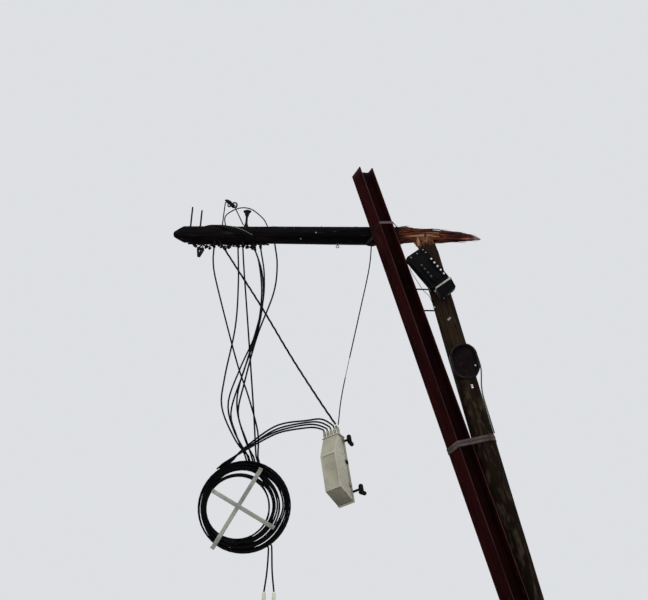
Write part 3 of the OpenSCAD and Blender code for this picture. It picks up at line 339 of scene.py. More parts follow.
# Weathered beige; its near-white mark is a painted highlight along the corners where the cover's front meets
# its sides.
beige = finish("weatheredBeige", [(128, 125, 108), (140, 137, 120), (150, 147, 130), (134, 131, 114)],
               patch=5, grain=90, mottle=0.1, speck={"scale": 30, "from": 0.68, "colour": (108, 99, 82)},
               marks=[("wearAndHighlight", (186, 184, 170))], rough=(0.42, 0.66))
# The cover's side that faces -Y: the beige lighter, as painted light.
beigeLitSide = finish("litSideBeige", [(152, 149, 133), (164, 161, 145), (172, 169, 154)], patch=5, grain=90,
                    mottle=0.07, speck={"scale": 30, "from": 0.70, "colour": (138, 133, 116)},
                    rough=(0.45, 0.68), bump=0.12, depth=0.0005)
# The cover's underside: the beige darker, as painted shade, with dirt specks.
beigeShadedUnderside = finish("shadedUndersideBeige", [(84, 80, 67), (104, 99, 85), (124, 118, 103)], patch=9, grain=110,
                   mottle=0.2, speck={"scale": 34, "from": 0.62, "colour": (84, 74, 60)}, rough=(0.5, 0.75),
                   bump=0.2)
latchPlastic = finish("latchGrey", [(84, 80, 68), (110, 105, 91), (134, 128, 112)], grain=140, mottle=0.22,
                      rough=(0.5, 0.7), bump=0.2, depth=0.0004)
sealRubber = finish("agedSeal", [(22, 20, 18), (34, 31, 28)], grain=150, rough=(0.7, 0.9), bump=0.3,
                    depth=0.0004)
blackFitting = finish("blackFitting", [(6, 5, 6), (11, 10, 11), (19, 17, 18)], grain=150, mottle=0.25,
                      rough=(0.42, 0.66), bump=0.2, depth=0.0004, shine=0.07)
blackSheath = finish("blackSheath", [(2, 2, 3), (5, 4, 6), (10, 9, 11)], patch=9, grain=80,
                     speck={"scale": 40, "from": 0.70, "colour": (24, 22, 24)}, rough=(0.48, 0.68),
                     depth=0.0003, shine=0.05)
greyStrand = finish("paleStrand", [(66, 65, 63), (92, 90, 86), (114, 110, 105)], mottle=0.25,
                    rough=(0.4, 0.6), bump=0.2, depth=0.0003, metal=0.3)
whiteCap = finish("whiteCap", [(176, 180, 162), (196, 200, 182), (210, 213, 198)], patch=16, grain=140,
                  mottle=0.08, speck={"scale": 50, "from": 0.66, "colour": (160, 158, 146)}, rough=(0.4, 0.6),
                  bump=0.1, depth=0.0003)
ropeFibre = finish("oldRope", [(13, 12, 14), (22, 20, 22), (36, 33, 36)], patch=30, grain=220, mottle=0.4,
                   rough=(0.8, 0.95), bump=0.6, shine=0.1)
darkIron = finish("rustedIron", [(8, 5, 6), (15, 10, 11), (26, 18, 18)], patch=24, grain=160, mottle=0.4,
                  speck={"scale": 90, "from": 0.64, "colour": (44, 26, 22)}, rough=(0.55, 0.82), bump=0.4,
                  metal=0.1, shine=0.06)
ironGrey = finish("greyIron", [(44, 40, 40), (64, 59, 58), (86, 80, 77)], patch=24, grain=160,
                  rough=(0.5, 0.75), bump=0.3, depth=0.0004, shine=0.2)
print("finishes ready")


# making pieces
# Puts a piece into the scene; it rides on the object and stands for a node of part.scad, if one is given
def enter(piece, node):
    scene.collection.objects.link(piece)
    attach(piece, "root")
    if node:
        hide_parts(node)
    return piece


# Makes a finished bmesh one piece of the scene
def keep(name, bm, finishes, node=None, place=None, sharp=38):
    if place is not None:
        bm.transform(place)
    bmesh.ops.recalc_face_normals(bm, faces=bm.faces)
    for face in bm.faces:
        face.smooth = True
    for edge in bm.edges:
        edge.smooth = edge.calc_face_angle(0.0) < radians(sharp)
    mesh = bpy.data.meshes.new(name)
    bm.to_mesh(mesh)
    bm.free()
    for material in finishes if isinstance(finishes, list) else [finishes]:
        mesh.materials.append(material)
    return enter(bpy.data.objects.new(name, mesh), node)


# Adds one shape to a piece, in place
def addTo(target, part, place=None, tone=0):
    if place is not None:
        part.transform(place)
    bmesh.ops.recalc_face_normals(part, faces=part.faces)
    if tone:
        for face in part.faces:
            face.material_index = tone
    carrier = bpy.data.meshes.new("carrier")
    part.to_mesh(carrier)
    part.free()
    target.from_mesh(carrier)
    bpy.data.meshes.remove(carrier)


# Rounds edges with an arc
def roundOff(bm, edges, radius, steps):
    bmesh.ops.bevel(bm, geom=edges, offset=radius, segments=steps, profile=0.5, affect="EDGES", material=-1,
                    clamp_overlap=True)


def edgesOver(bm, angle):
    return [e for e in bm.edges if e.calc_face_angle(0.0) > radians(angle)]


# A block with rounded edges; tall is (axis, radius) for the four edges along one axis
def block(size, middle=(0, 0, 0), round=0.002, steps=2, tall=None):
    bm = bmesh.new()
    bmesh.ops.create_cube(bm, size=1, matrix=shift(middle) @ Matrix.Diagonal((*size, 1)))
    if tall:
        axis = "xyz".index(tall[0])
        edges = [e for e in bm.edges if abs((e.verts[0].co - e.verts[1].co)[axis]) > 1e-6]
        roundOff(bm, edges, tall[1], 5)
    if round:
        roundOff(bm, edgesOver(bm, 50), round, steps)
    return bm


def addBlock(target, size, middle, *rounding):
    addTo(target, block(size, middle, *rounding))


# Spins what a bmesh holds once round local Z
def spun(bm, steps):
    bmesh.ops.spin(bm, geom=bm.verts[:] + bm.edges[:], axis=(0, 0, 1), angle=tau, steps=steps, use_merge=True)
    bmesh.ops.remove_doubles(bm, verts=bm.verts, dist=1e-6)
    return bm


# A turned shape from its profile, radius and height, about local Z
def turned(profile, steps):
    bm = bmesh.new()
    verts = [bm.verts.new((r, 0, z)) for r, z in profile]
    for pair in zip(verts, verts[1:]):
        bm.edges.new(pair)
    return spun(bm, steps)


# A round bar along local Z; cut is how far its upper edge is cut back, inwards and down
def peg(radius, low, high, steps, cut=None):
    rim = [(radius, high - cut[1]), (radius - cut[0], high)] if cut else [(radius, high)]
    return turned([(0, low), (radius, low), *rim, (0, high)], steps)


# A closed ring of round bar in the plane square to local Z
def ringShape(radius, thick, steps, sides):
    bm = bmesh.new()
    bmesh.ops.create_circle(bm, segments=sides, radius=thick / 2, matrix=shift(radius, 0, 0) @ turn(x=90))
    return spun(bm, steps)


# A flat shape in local X and Z, pulled towards local -Y by its thickness
def sheetCut(outline, thick, round, steps=2):
    bm = bmesh.new()
    bm.faces.new([bm.verts.new((x, 0, z)) for x, z in outline])
    pulled = bmesh.ops.extrude_face_region(bm, geom=list(bm.faces))
    bmesh.ops.translate(bm, verts=[v for v in pulled["geom"] if isinstance(v, bmesh.types.BMVert)],
                        vec=(0, -thick, 0))
    if round:
        roundOff(bm, edgesOver(bm, 60), round, steps)
    return bm


# Sinks the middle of a face, 12 mm in from its edges
def panel(bm, faces, slope, depth):
    bmesh.ops.inset_region(bm, faces=faces, thickness=0.012, depth=0.0, use_even_offset=True)
    bmesh.ops.inset_region(bm, faces=faces, thickness=slope, depth=depth, use_even_offset=True)


# A cross-section, in local X and Y, pulled along a row of frames
def sweep(outline, frames, closed=False):
    bm = bmesh.new()
    loop = [bm.verts.new(frames[0] @ Vector((x, y, 0))) for x, y in outline]
    edges = [bm.edges.new((a, b)) for a, b in zip(loop, loop[1:] + loop[:1])]
    for before, now in zip(frames, frames[1:]):
        pulled = bmesh.ops.extrude_edge_only(bm, edges=edges)
        verts = [g for g in pulled["geom"] if isinstance(g, bmesh.types.BMVert)]
        edges = [g for g in pulled["geom"] if isinstance(g, bmesh.types.BMEdge)
                 and g.verts[0] in set(verts) and g.verts[1] in set(verts)]
        bmesh.ops.transform(bm, matrix=now @ before.inverted(), verts=verts)
    if closed:
        bmesh.ops.remove_doubles(bm, verts=bm.verts, dist=2e-5)
    else:
        bmesh.ops.holes_fill(bm, edges=[e for e in bm.edges if e.is_boundary], sides=0)
    return bm


# Frames with local Z along a line; local Y keeps to outs where they are given
def framesAlong(points, outs=None, scales=None):
    frames, side = [], None
    for i, point in enumerate(points):
        along = (points[min(i + 1, len(points) - 1)] - points[max(i - 1, 0)]).normalized()
        if outs:
            out = (outs[i] - along * outs[i].dot(along)).normalized()
        else:
            side = side or (up if abs(along.z) < 0.9 else Vector((0, 1, 0)))
            out = (side - along * side.dot(along)).normalized()
            side = out
        size = scales[i] if scales else 1.0
        axes = Matrix((out.cross(along) * size, out * size, along * size))
        frames.append(shift(point) @ axes.transposed().to_4x4())
    return frames


def roundLine(radius, sides):
    return [(radius * cos(tau * i / sides), radius * sin(tau * i / sides)) for i in range(sides)]


# Points at equal steps on a smooth line through the given ones
def smoothLine(points, count):
    ends = [points[0] * 2 - points[1]] + list(points) + [points[-1] * 2 - points[-2]]
    dense = []
    for a, b, c, d in zip(ends, ends[1:], ends[2:], ends[3:]):
        for k in range(20):
            t = k / 20
            dense.append(0.5 * ((2 * b) + (c - a) * t + (2 * a - 5 * b + 4 * c - d) * t * t
                                + (3 * b - a - 3 * c + d) * t ** 3))
    dense.append(points[-1].copy())
    reach = [0.0]
    for a, b in zip(dense, dense[1:]):
        reach.append(reach[-1] + (b - a).length)
    line, j = [], 0
    for i in range(count):
        goal = reach[-1] * i / (count - 1)
        while j < len(dense) - 2 and reach[j + 1] < goal:
            j += 1
        share = (goal - reach[j]) / max(reach[j + 1] - reach[j], 1e-9)
        line.append(dense[j].lerp(dense[j + 1], min(share, 1)))
    return line


def lineLength(points):
    return sum((b - a).length for a, b in zip(points, points[1:]))


# Round cable as a curve, one spline for each line of points
def cable(name, lines, diameter, node=None, look=blackSheath, sides=3):
    data = bpy.data.curves.new(name, "CURVE")
    data.dimensions = "3D"
    data.bevel_depth = diameter / 2
    data.bevel_resolution = sides
    data.use_fill_caps = True
    for line in lines:
        spline = data.splines.new("POLY")
        spline.points.add(len(line) - 1)
        for point, place in zip(spline.points, line):
            point.co = (*place, 1)
    data.materials.append(look)
    return enter(bpy.data.objects.new(name, data), node)


# Three lines that wind round one line, as the strands of a rope do
def strandsAlong(points, reach, pitch):
    run, lines = 0.0, [[], [], []]
    for i, frameHere in enumerate(framesAlong(points)):
        if i:
            run += (points[i] - points[i - 1]).length
        for k, line in enumerate(lines):
            a = tau * (run / pitch + k / 3)
            line.append(frameHere @ Vector((reach * cos(a), reach * sin(a), 0)))
    return lines


# A frame with its local Z along a direction
def facing(direction, place):
    return shift(place) @ direction.to_track_quat("Z", "Y").to_matrix().to_4x4()


# Smooth noise, -1 to 1
def ripple(x, y, z):
    return noise.noise(Vector((x, y, z)))


# One random number, 0 to 1, for each cell of space
def patchwork(x, y, z):
    return noise.cell(Vector((x, y, z)))


# A value for each corner of a mesh, which its finish reads by name
def layer(bm, name):
    return bm.verts.layers.float.get(name) or bm.verts.layers.float.new(name)


# Keeps a value from 0 to 1
def limited(value):
    return max(0.0, min(1.0, value))


# free cords, with their routes in millimetres
cord = {"drop": 0.0135, "coil": 0.013, "slack": 0.010}
coil = {"outer": 0.700, "hole": 0.465, "left": 0.054, "thick": 0.080, "across": 10, "layers": 2,
        "perTurn": 44, "start": -58, "depths": (-0.0315, 0.0070), "stagger": 0.0125, "change": (304, 52)}
coilRim = coil["outer"] / 2


def hung(points):
    return [hang + Vector(p) / 1000 for p in points]


def besideCoil(x, off, y):
    return coilMid + Vector((x, y, off + sqrt(coilRim ** 2 - x * x)))


# A place off the coil's rim, at an angle from its right
def offRim(angle, off, y):
    reach = coilRim + off
    return coilMid + Vector((reach * cos(angle), y, reach * sin(angle)))


dropRoutes = [
    ([[-2865, 446, 5320], [-2866, 446, 5170], [-2825, 446, 4960], [-2640, 446, 4295], [-2535, 446, 3995],
      [-2450, 446, 3700]], 0.102, 0.020),
    ([[-2665, 474, 5325], [-2650, 474, 5000], [-2660, 474, 4595], [-2730, 474, 4150], [-2740, 474, 3900],
      [-2620, 464, 3630]], 0.030, 0.028),
    ([[-2620, 425, 5310], [-2600, 390, 5085], [-2565, 390, 4725], [-2515, 390, 4200], [-2478, 390, 3800]],
     0.090, -0.020),
    ([[-2525, 425, 5295], [-2478, 404, 5150], [-2447, 404, 4860], [-2480, 404, 4530], [-2600, 404, 4210],
      [-2685, 404, 3920], [-2630, 404, 3690]], 0.022, -0.016),
    ([[-2468, 432, 5290], [-2432, 432, 5040], [-2445, 432, 4740], [-2560, 432, 4245], [-2662, 432, 3870],
      [-2615, 432, 3670]], 0.004, 0.007),
    ([[-2350, 420, 5335], [-2325, 418, 5130], [-2350, 418, 4870], [-2474, 418, 4490], [-2565, 418, 4090],
      [-2605, 418, 3835], [-2530, 418, 3610]], 0.052, -0.002),
    ([[-2515, 462, 5285], [-2455, 460, 5090], [-2438, 460, 4840], [-2478, 460, 4540], [-2600, 460, 4120],
      [-2618, 460, 3880], [-2540, 460, 3620]], 0.068, 0.022)]
dropTops = []
for i, (route, x, y) in enumerate(dropRoutes):
    points = hung(route) + [besideCoil(x - 0.014, 0.048, y), besideCoil(x, 0.003, y)]
    dropTops.append((points[0], (points[0] - points[1]).normalized()))
    line = smoothLine(points, 38)
    piece = cable(f"dropCable{i + 1}", [line], cord["drop"], f"drop_cable_{i + 1}")

sleeve = {"x": 0.030, "pitch": 0.030, "foot": 0.008, "long": 0.062, "wide": 0.024}
feedRoutes = [
    (-0.146, 0.010, [[-2545, 385, 3550], [-2305, 374, 3722], [-2065, 380, 3768], [-1948, 380, 3778]]),
    (-0.167, -0.009, [[-2440, 360, 3606], [-2280, 360, 3700], [-2070, 372, 3749], [-1962, 384, 3754]]),
    (-0.183, -0.023, [[-2440, 345, 3596], [-2280, 345, 3676], [-2090, 362, 3726], [-1990, 376, 3732]]),
    (-0.200, -0.037, [[-2440, 328, 3572], [-2275, 328, 3656], [-2090, 350, 3698], [-2000, 372, 3709]])]
for i, (x, y, route) in enumerate(feedRoutes):
    mouth = inSplice @ Vector((sleeve["x"], (i - 1) * sleeve["pitch"], sleeve["foot"] + sleeve["long"] + gap))
    rest = acos(x / coilRim)
    points = [offRim(rest + a, cord["drop"] / 2 + off, y) for a, off in ((0.050, 0.0), (-0.020, 0.0015))]
    points.append(besideCoil(x, 0.046, y - 0.014) + Vector((0.048, 0, 0)))
    points += hung(route) + [mouth + spliceUp * 0.020, mouth]
    line = smoothLine(points, 34)
    piece = cable(f"feedCable{i + 1}", [line], cord["drop"], f"box_feed_{i + 1}")

slackRoute = [(-1.362, 0), (-1.376, 0.152), (-1.340, 0.205), (-1.249, 0.249), (-1.150, 0.235),
              (-1.044, 0.148), (-0.998, 0)]
slackFront = 0.026
line = smoothLine([logOver(s, h or sqrt(logRadius(s) ** 2 - slackFront ** 2) + 0.0029, slackFront)
                   for s, h in slackRoute], 34)
piece = cable("slackLoop", [line], cord["slack"], "slack_loop")


# How far in each turn lies, from the outermost: (middle and reach in degrees, shares of the band)
spread = [(20, 36, [0, 0.08, 0.16, 0.24, 0.33, 0.51, 0.60, 0.72, 0.81, 1]),
          (100, 38, [0, 0.03, 0.06, 0.18, 0.24, 0.31, 0.40, 0.48, 0.86, 1]),
          (184, 36, [0, 0.38, 0.46, 0.54, 0.61, 0.69, 0.77, 0.85, 0.92, 1])]


# A turn's radius: turns part on the right, the innermost at the top and the outermost on the left
def coilRadius(place, row, angle):
    outer = (coil["outer"] - cord["coil"]) / 2
    inner = (coil["hole"] + cord["coil"]) / 2
    offset = coil["left"] * sin(angle)
    hole = -coil["left"] * cos(angle) + sqrt(inner ** 2 - offset ** 2)
    even = (place + 0.5 * row) / (coil["across"] - 0.5)
    share = even
    for middle, reach, shares in spread:
        away = (degrees(angle) - middle + 180) % 360 - 180
        share += (shares[place] - even) * exp(-(away / reach) ** 4)
    wobble = 0.0014 * sin(angle * 2 + place * 2.4 + row * 1.7)
    return outer - (outer - hole) * share + (min(0, wobble) if place < coil["across"] - 1 else 0)


def coilDepth(place, row):
    return coil["depths"][row] + coil["stagger"] * (place % 3)


def coilLine():
    order = [(p, 0) for p in range(coil["across"])] + [(p, 1) for p in reversed(range(coil["across"]))]
    steps = coil["perTurn"]
    start, lasts = coil["change"]
    points = []
    for k, (place, row) in enumerate(order):
        following = order[k + 1] if k + 1 < len(order) else (place, row)
        for j in range(steps):
            angle = tau * j / steps + radians(coil["start"])  # anticlockwise from where the tails hang
            change = limited((j / steps * 360 - start) / lasts)  # moves over at the bottom
            change = change * change * (3 - 2 * change)
            r = coilRadius(place, row, angle) * (1 - change) + coilRadius(*following, angle) * change
            y = coilDepth(place, row) * (1 - change) + coilDepth(*following) * change
            points.append(coilMid + Vector((r * cos(angle), y, r * sin(angle))))
    return points


line = coilLine()
coilTurns = cable("coilTurns", [line], cord["coil"], "cable_coil")
print("coil", round(lineLength(line), 2), "m in", coil["across"] * coil["layers"], "turns")

tail = {"end": -0.615, "capWide": 0.028, "capLong": 0.110,
        "ways": [[(0.185, -0.006), (0.180, -0.008), (0.162, -0.015)],
                 [(0.208, -0.006), (0.218, -0.008), (0.234, -0.015)]]}
wide, long, thin = tail["capWide"] / 2, tail["capLong"], cord["coil"] / 2
capProfile = [(0, 0), (wide - 0.002, 0), (wide, 0.002), (wide, 0.018), (wide - 0.0012, 0.020),
              (wide - 0.0012, 0.024), (wide, 0.026), (wide, 0.084), (wide - 0.001, 0.088),
              (wide - 0.001, 0.092), (wide, 0.095), (thin + 0.003, long - 0.002), (thin + 0.001, long),
              (0, long)]
for i, ((x, y), (midX, midY), (endX, endY)) in enumerate(tail["ways"]):
    leave = -acos(x / coilRim)
    points = [offRim(leave, -0.014, y), offRim(leave, 0.004, y) - Vector((0, 0, 0.006)),
              coilMid + Vector((midX, midY, tail["end"] + 0.145)),
              coilMid + Vector((endX, endY, tail["end"]))]
    low = points[-1] - Vector((0, 0, long + 0.001))
    cap = keep(f"tailCap{i + 1}", turned(capProfile, 28), whiteCap, "tail_caps", shift(low))
    line = smoothLine(points, 16)
    piece = cable(f"coilTail{i + 1}", [line], cord["coil"], "coil_tails")
print("cords ready")

# wood: the standing pole, the fallen top and what the break tore open
wood = {"steps": 176, "ring": 0.0155, "wave": 0.0020, "cracks": 34, "crackDeep": 0.009, "knots": 9,
        "jag": 0.020, "logSteps": 160, "logRing": 0.012, "crown": 0.16, "crownRings": 40, "inward": 26,
        "dampTop": 4.25, "dampFade": 0.35, "slivers": 34}
crestFront = [(-1.3, -0.8), (-0.85, -0.25), (-0.78, 0), (-0.42, 0), (-0.36, 0.5), (-0.22, 0.32), (-0.12, 1),
              (0.44, 1), (0.5, 0.55), (0.62, 0.7), (0.72, 0.1), (0.9, -0.75), (1.3, -1.3)]
crestSide = [(-1.3, -1.3), (-0.75, -0.55), (-0.6, -0.1), (-0.5, 0.35), (-0.3, 0.2), (-0.15, 1), (0.75, 1),
             (0.85, 0.4), (1.3, 0.1)]
tear = {"top": [(0.060, 0.078), (0.147, 0.086), (0.181, 0.089), (0.272, 0.061), (0.340, 0.066),
                (0.425, 0.069), (0.457, 0.059), (0.592, 0.048), (0.622, 0.040), (0.710, 0.026),
                (0.766, 0.005), (0.803, -0.019)],
        "bottom": [(0.060, -0.074), (0.149, -0.067), (0.208, -0.055), (0.283, -0.047), (0.397, -0.060),
                   (0.474, -0.054), (0.564, -0.049), (0.671, -0.044), (0.776, -0.033), (0.803, -0.028)],
        "deep": [(0.060, 0.074), (0.200, 0.066), (0.400, 0.050), (0.560, 0.036), (0.700, 0.020),
                 (0.776, 0.010), (0.803, 0.004)],
        "sides": 132, "rings": 150, "strips": 96, "first": 0.075, "last": 0.800, "core": 0.93}


# Straight-line reading of a table of pairs
def level(table, x):
    for (x0, z0), (x1, z1) in zip(table, table[1:]):
        if x <= x1:
            return z0 + (z1 - z0) * max(0.0, x - x0) / (x1 - x0)
    return table[-1][1]


def makeCracks(count, low, high, longest):
    return [{"angle": between(0, tau), "middle": between(low, high), "half": between(0.10, longest),
             "wander": between(-0.14, 0.14), "wide": between(0.0018, 0.0036), "deep": between(0.35, 1.0)}
            for _ in range(count)]


def makeKnots(count, low, high, least, most):
    return [(between(0, tau), between(low, high), between(least, most)) for _ in range(count)]


# From one angle to another, the short way round
def apart(angle, other):
    return (angle - other + pi) % tau - pi


def crackAt(cracks, angle, along, radius):
    deepest = 0.0
    for crack in cracks:
        t = (along - crack["middle"]) / crack["half"]
        if abs(t) < 1:
            middle = crack["angle"] + crack["wander"] * t + 0.05 * sin(along * 23 + crack["angle"] * 5)
            away = apart(angle, middle) * radius / crack["wide"]
            if abs(away) < 2.6:
                deepest = max(deepest, crack["deep"] * (1 - t * t) * exp(-away * away))
    return deepest


# Waves, drying cracks and knots on the side of a post that runs along local Z
def weather(bm, cracks, knots, sideOnly, deep):
    split, pale, stain = layer(bm, "split"), layer(bm, "pale"), layer(bm, "stain")
    for v in bm.verts:
        radius = hypot(v.co.x, v.co.y)
        if radius < 1e-4 or not sideOnly(v.co):
            continue
        angle, along = atan2(v.co.y, v.co.x), v.co.z
        c, s = v.co.x / radius, v.co.y / radius
        push = wood["wave"] * ripple(c * 2.1, s * 2.1, along * 1.4)
        push += wood["wave"] * 0.5 * ripple(c * 9, s * 9, along * 2.6)
        push += 0.0006 * ripple(c * 24, s * 24, along * 5)
        crack = crackAt(cracks, angle, along, radius)
        push -= deep * crack
        for knotAngle, knotAlong, size in knots:
            away = hypot(apart(angle, knotAngle) * radius, along - knotAlong) / size
            if away < 2.4:
                push += size * 0.24 * exp(-away * away) - size * 0.30 * exp(-away * away * 9)
                v[stain] = max(v[stain], 0.8 * exp(-away * away * 2.2))
        v[split] = min(1.0, crack * 1.4)
        v[pale] = max(0.0, ripple(c * 3, s * 3, along * 4.3) - 0.34) * 2.2
        v.co.x += c * push
        v.co.y += s * push


# How far the wood stands above the break's height, at one place of the section
def crest(x, y):
    half = pole["top"] / 2
    front = level(crestFront, x / half)
    return pole["tongue"] * (front if front < 0 else max(0.0, min(front, level(crestSide, y / half))))


def fibreJag(x, y):
    return wood["jag"] * (patchwork(x * 130, y * 130, 0.3) + 0.5 * patchwork(x * 290, y * 290, 4.7) - 0.75)


def makeStub():
    rise = pole["breakHeight"] / poleDir.z
    foot, half = pole["foot"] / 2, pole["top"] / 2
    slope = (pole["foot"] - pole["top"]) / 2 / rise
    start = rise - wood["crown"]
    count, upper, inward = int((start + buried) / wood["ring"]), wood["crownRings"], wood["inward"]
    side = [(foot - slope * z, z) for z in (-buried + (start + buried) * i / count for i in range(count + 1))]
    side += [(foot - slope * start, start + wood["crown"] * (i + 1) / upper) for i in range(upper)]
    side += [((foot - slope * rise) * (1 - (i + 1) / inward), rise + 1.0) for i in range(inward)]
    bm = turned([(0, -buried)] + side, wood["steps"])
    torn = layer(bm, "torn")
    for v in bm.verts:
        radius = hypot(v.co.x, v.co.y)
        if v.co.z > start + 1e-6:
            c, s = (v.co.x / radius, v.co.y / radius) if radius > 1e-5 else (1, 0)
            share = min(1.0, (v.co.z - start) / wood["crown"])
            x, y = (v.co.x, v.co.y) if v.co.z > rise + 0.5 else (c * half * 0.97, s * half * 0.97)
            top = rise + crest(x, y) + fibreJag(x, y)
            v.co.z = start + (top - start) * share
            bare = 0.030 if c < 0.1 else 0.006
            v[torn] = 1.0 if share > 0.97 and c < 0.75 else max(0.0, (v.co.z - (top - bare)) / bare) ** 2
    cracks = makeCracks(wood["cracks"], 0.2, rise, 1.1) + makeCracks(14, rise - 0.7, rise, 0.6)
    knots = makeKnots(wood["knots"], 0.5, 5.0, 0.016, 0.030) + [(-1.31, 4.492, 0.019)]
    weather(bm, cracks, knots, lambda p: hypot(p.x, p.y) > (foot - slope * p.z) * 0.98, wood["crackDeep"])
    damp, mossy = layer(bm, "damp"), layer(bm, "mossy")
    for v in bm.verts:
        low = limited((wood["dampTop"] - v.co.z) / wood["dampFade"])
        v[damp] = 0.6 * low
        spot = ripple(v.co.x * 26, v.co.y * 26, v.co.z * 9)
        spot += 0.6 * ripple(v.co.x * 75, v.co.y * 75, v.co.z * 24)
        v[mossy] = low * min(0.65, max(0.0, spot - 0.10) * 1.5)
    for face in bm.faces:
        if sum(v[torn] for v in face.verts) / len(face.verts) > 0.6:
            face.material_index = 1
    bm.transform(onPole(0))
    cutAtGround(bm)
    keep("standingPole", bm, [darkWood, breakWood], "pole_stub", sharp=50)


def cutAtGround(bm):
    cut = bmesh.ops.bisect_plane(bm, geom=bm.verts[:] + bm.edges[:] + bm.faces[:], plane_co=(0, 0, 0),
                                 plane_no=(0, 0, -1), clear_outer=True)
    rim = [e for e in cut["geom_cut"] if isinstance(e, bmesh.types.BMEdge)]
    bmesh.ops.holes_fill(bm, edges=rim, sides=0)


# One torn strip: thin, uneven, drawn out to a point
def strip(target, points, wide, thick, tone, steps=9, out=None, belly=0.0):
    sizes = [max(0.12, (1 - (i / (steps - 1)) ** 1.6) * (1 + belly * sin(pi * i / (steps - 1))))
             for i in range(steps)]
    section = [(x * wide, y * thick) for x, y in ((-0.50, -0.40), (0.38, -0.50), (0.52, 0.20), (0.12, 0.50),
                                                  (-0.46, 0.34))]
    bm = sweep(section, framesAlong(smoothLine(points, steps), out and [out] * steps, sizes))
    for v in bm.verts:
        v.co += Vector(noise.noise_vector(v.co * 60)) * min(wide, thick) * 0.22
    addTo(target, bm, tone=tone)


# The torn end at a distance along the log: its middle over the log's, and half its height and its depth
def tornSize(s):
    top, bottom, deep = (level(tear[k], s) for k in ("top", "bottom", "deep"))
    return (top + bottom) / 2, (top - bottom) / 2, deep


# A point on the torn end: angle 0 is its top and 90 its front
def tornFace(s, angle, off=0.0):
    middle, tall, deep = tornSize(s)
    a = radians(angle)
    return logOver(s, middle + (tall + off) * cos(a), (deep + off) * sin(a))


def makeTornCore():
    first, last, core = tear["first"], tear["last"], tear["core"]
    frames = []
    for i in range(tear["rings"] + 1):
        s = first + (last - first) * (i / tear["rings"])
        middle, tall, deep = tornSize(s)
        frames.append(shift(logOver(s, middle)) @ logTurn @ Matrix.Diagonal((deep * core, tall * core, 1, 1)))
    bm = sweep(roundLine(1.0, tear["sides"]), frames)
    dark, pale = layer(bm, "dark"), layer(bm, "pale")
    for v in bm.verts:
        local = v.co - logMid
        s, high, back = local.dot(logDir), local.dot(logUp), local.dot(logBack)
        middle, tall, deep = tornSize(s)
        c, f = (high - middle) / tall, -back / max(deep, 1e-4)
        size = min(1.0, (tall + deep) / 0.11)
        twist = 0.9 * s + 0.35 * ripple(s * 5, 0.2, 0.7)
        turnedC, turnedF = c * cos(twist) - f * sin(twist), c * sin(twist) + f * cos(twist)
        bundle = abs(ripple(turnedC * 2.3, turnedF * 2.3, s * 5.0))
        fibre = abs(ripple(turnedC * 6.0, turnedF * 6.0, s * 7.5 + 3))
        thread = ripple(turnedC * 15, turnedF * 15, s * 12)
        push = size * (0.020 * (bundle ** 0.6 - 0.62) + 0.0085 * (fibre ** 0.7 - 0.4) + 0.0022 * thread)
        v.co += (logUp * c * deep - logBack * f * tall).normalized() * push
        # Darker in the crevices between fibre bundles, as painted shade; darker also near the top and bottom
        # rims and beside the beam.
        creviceShade = max(0.0, 1 - bundle * 6.5) * 0.9 + max(0.0, 1 - fibre * 8) * 0.6
        edge = max(0.0, (abs(c) - 0.72) / 0.28) * (0.9 if c > 0 else 0.75)
        nearBeam = max(0.0, 1 - (s - first) / 0.085)
        v[dark] = min(1.0, max(creviceShade, edge, nearBeam))
        streak = exp(-((s - 0.32) / 0.15) ** 4) * exp(-((high + 0.020 - 0.05 * (s - 0.30)) / 0.014) ** 2)
        knot = exp(-(((s - 0.492) / 0.022) ** 2 + ((high + 0.006) / 0.011) ** 2))
        ridge = exp(-((s - 0.43) / 0.09) ** 4) * exp(-((high - 0.016) / 0.008) ** 2) * 0.6
        v[pale] = min(1.0, (streak + knot + ridge) * (1.0 if f > 0 else 0.35) + max(0.0, bundle - 0.42) * 1.2)
    markTorn(bm)
    keep("tornFibres", bm, tornWood, "torn_splinters", sharp=60)


# Darker beside the beam, plum at the far end, ashen at the tip
def markTorn(bm):
    dark, plum, ashen = layer(bm, "dark"), layer(bm, "plum"), layer(bm, "ashen")
    for v in bm.verts:
        s = (v.co - logMid).dot(logDir)
        patch = 0.5 + noise.noise(v.co * 22)
        v[dark] = max(v[dark], limited(1.2 - (s - tear["first"]) / 0.115) * min(1.0, 0.6 + patch * 0.5))
        v[plum] = limited((s - 0.46) / 0.10) * min(1.0, 0.55 + patch * 0.5)
        v[ashen] = limited((s - 0.735) / 0.03) * 0.9


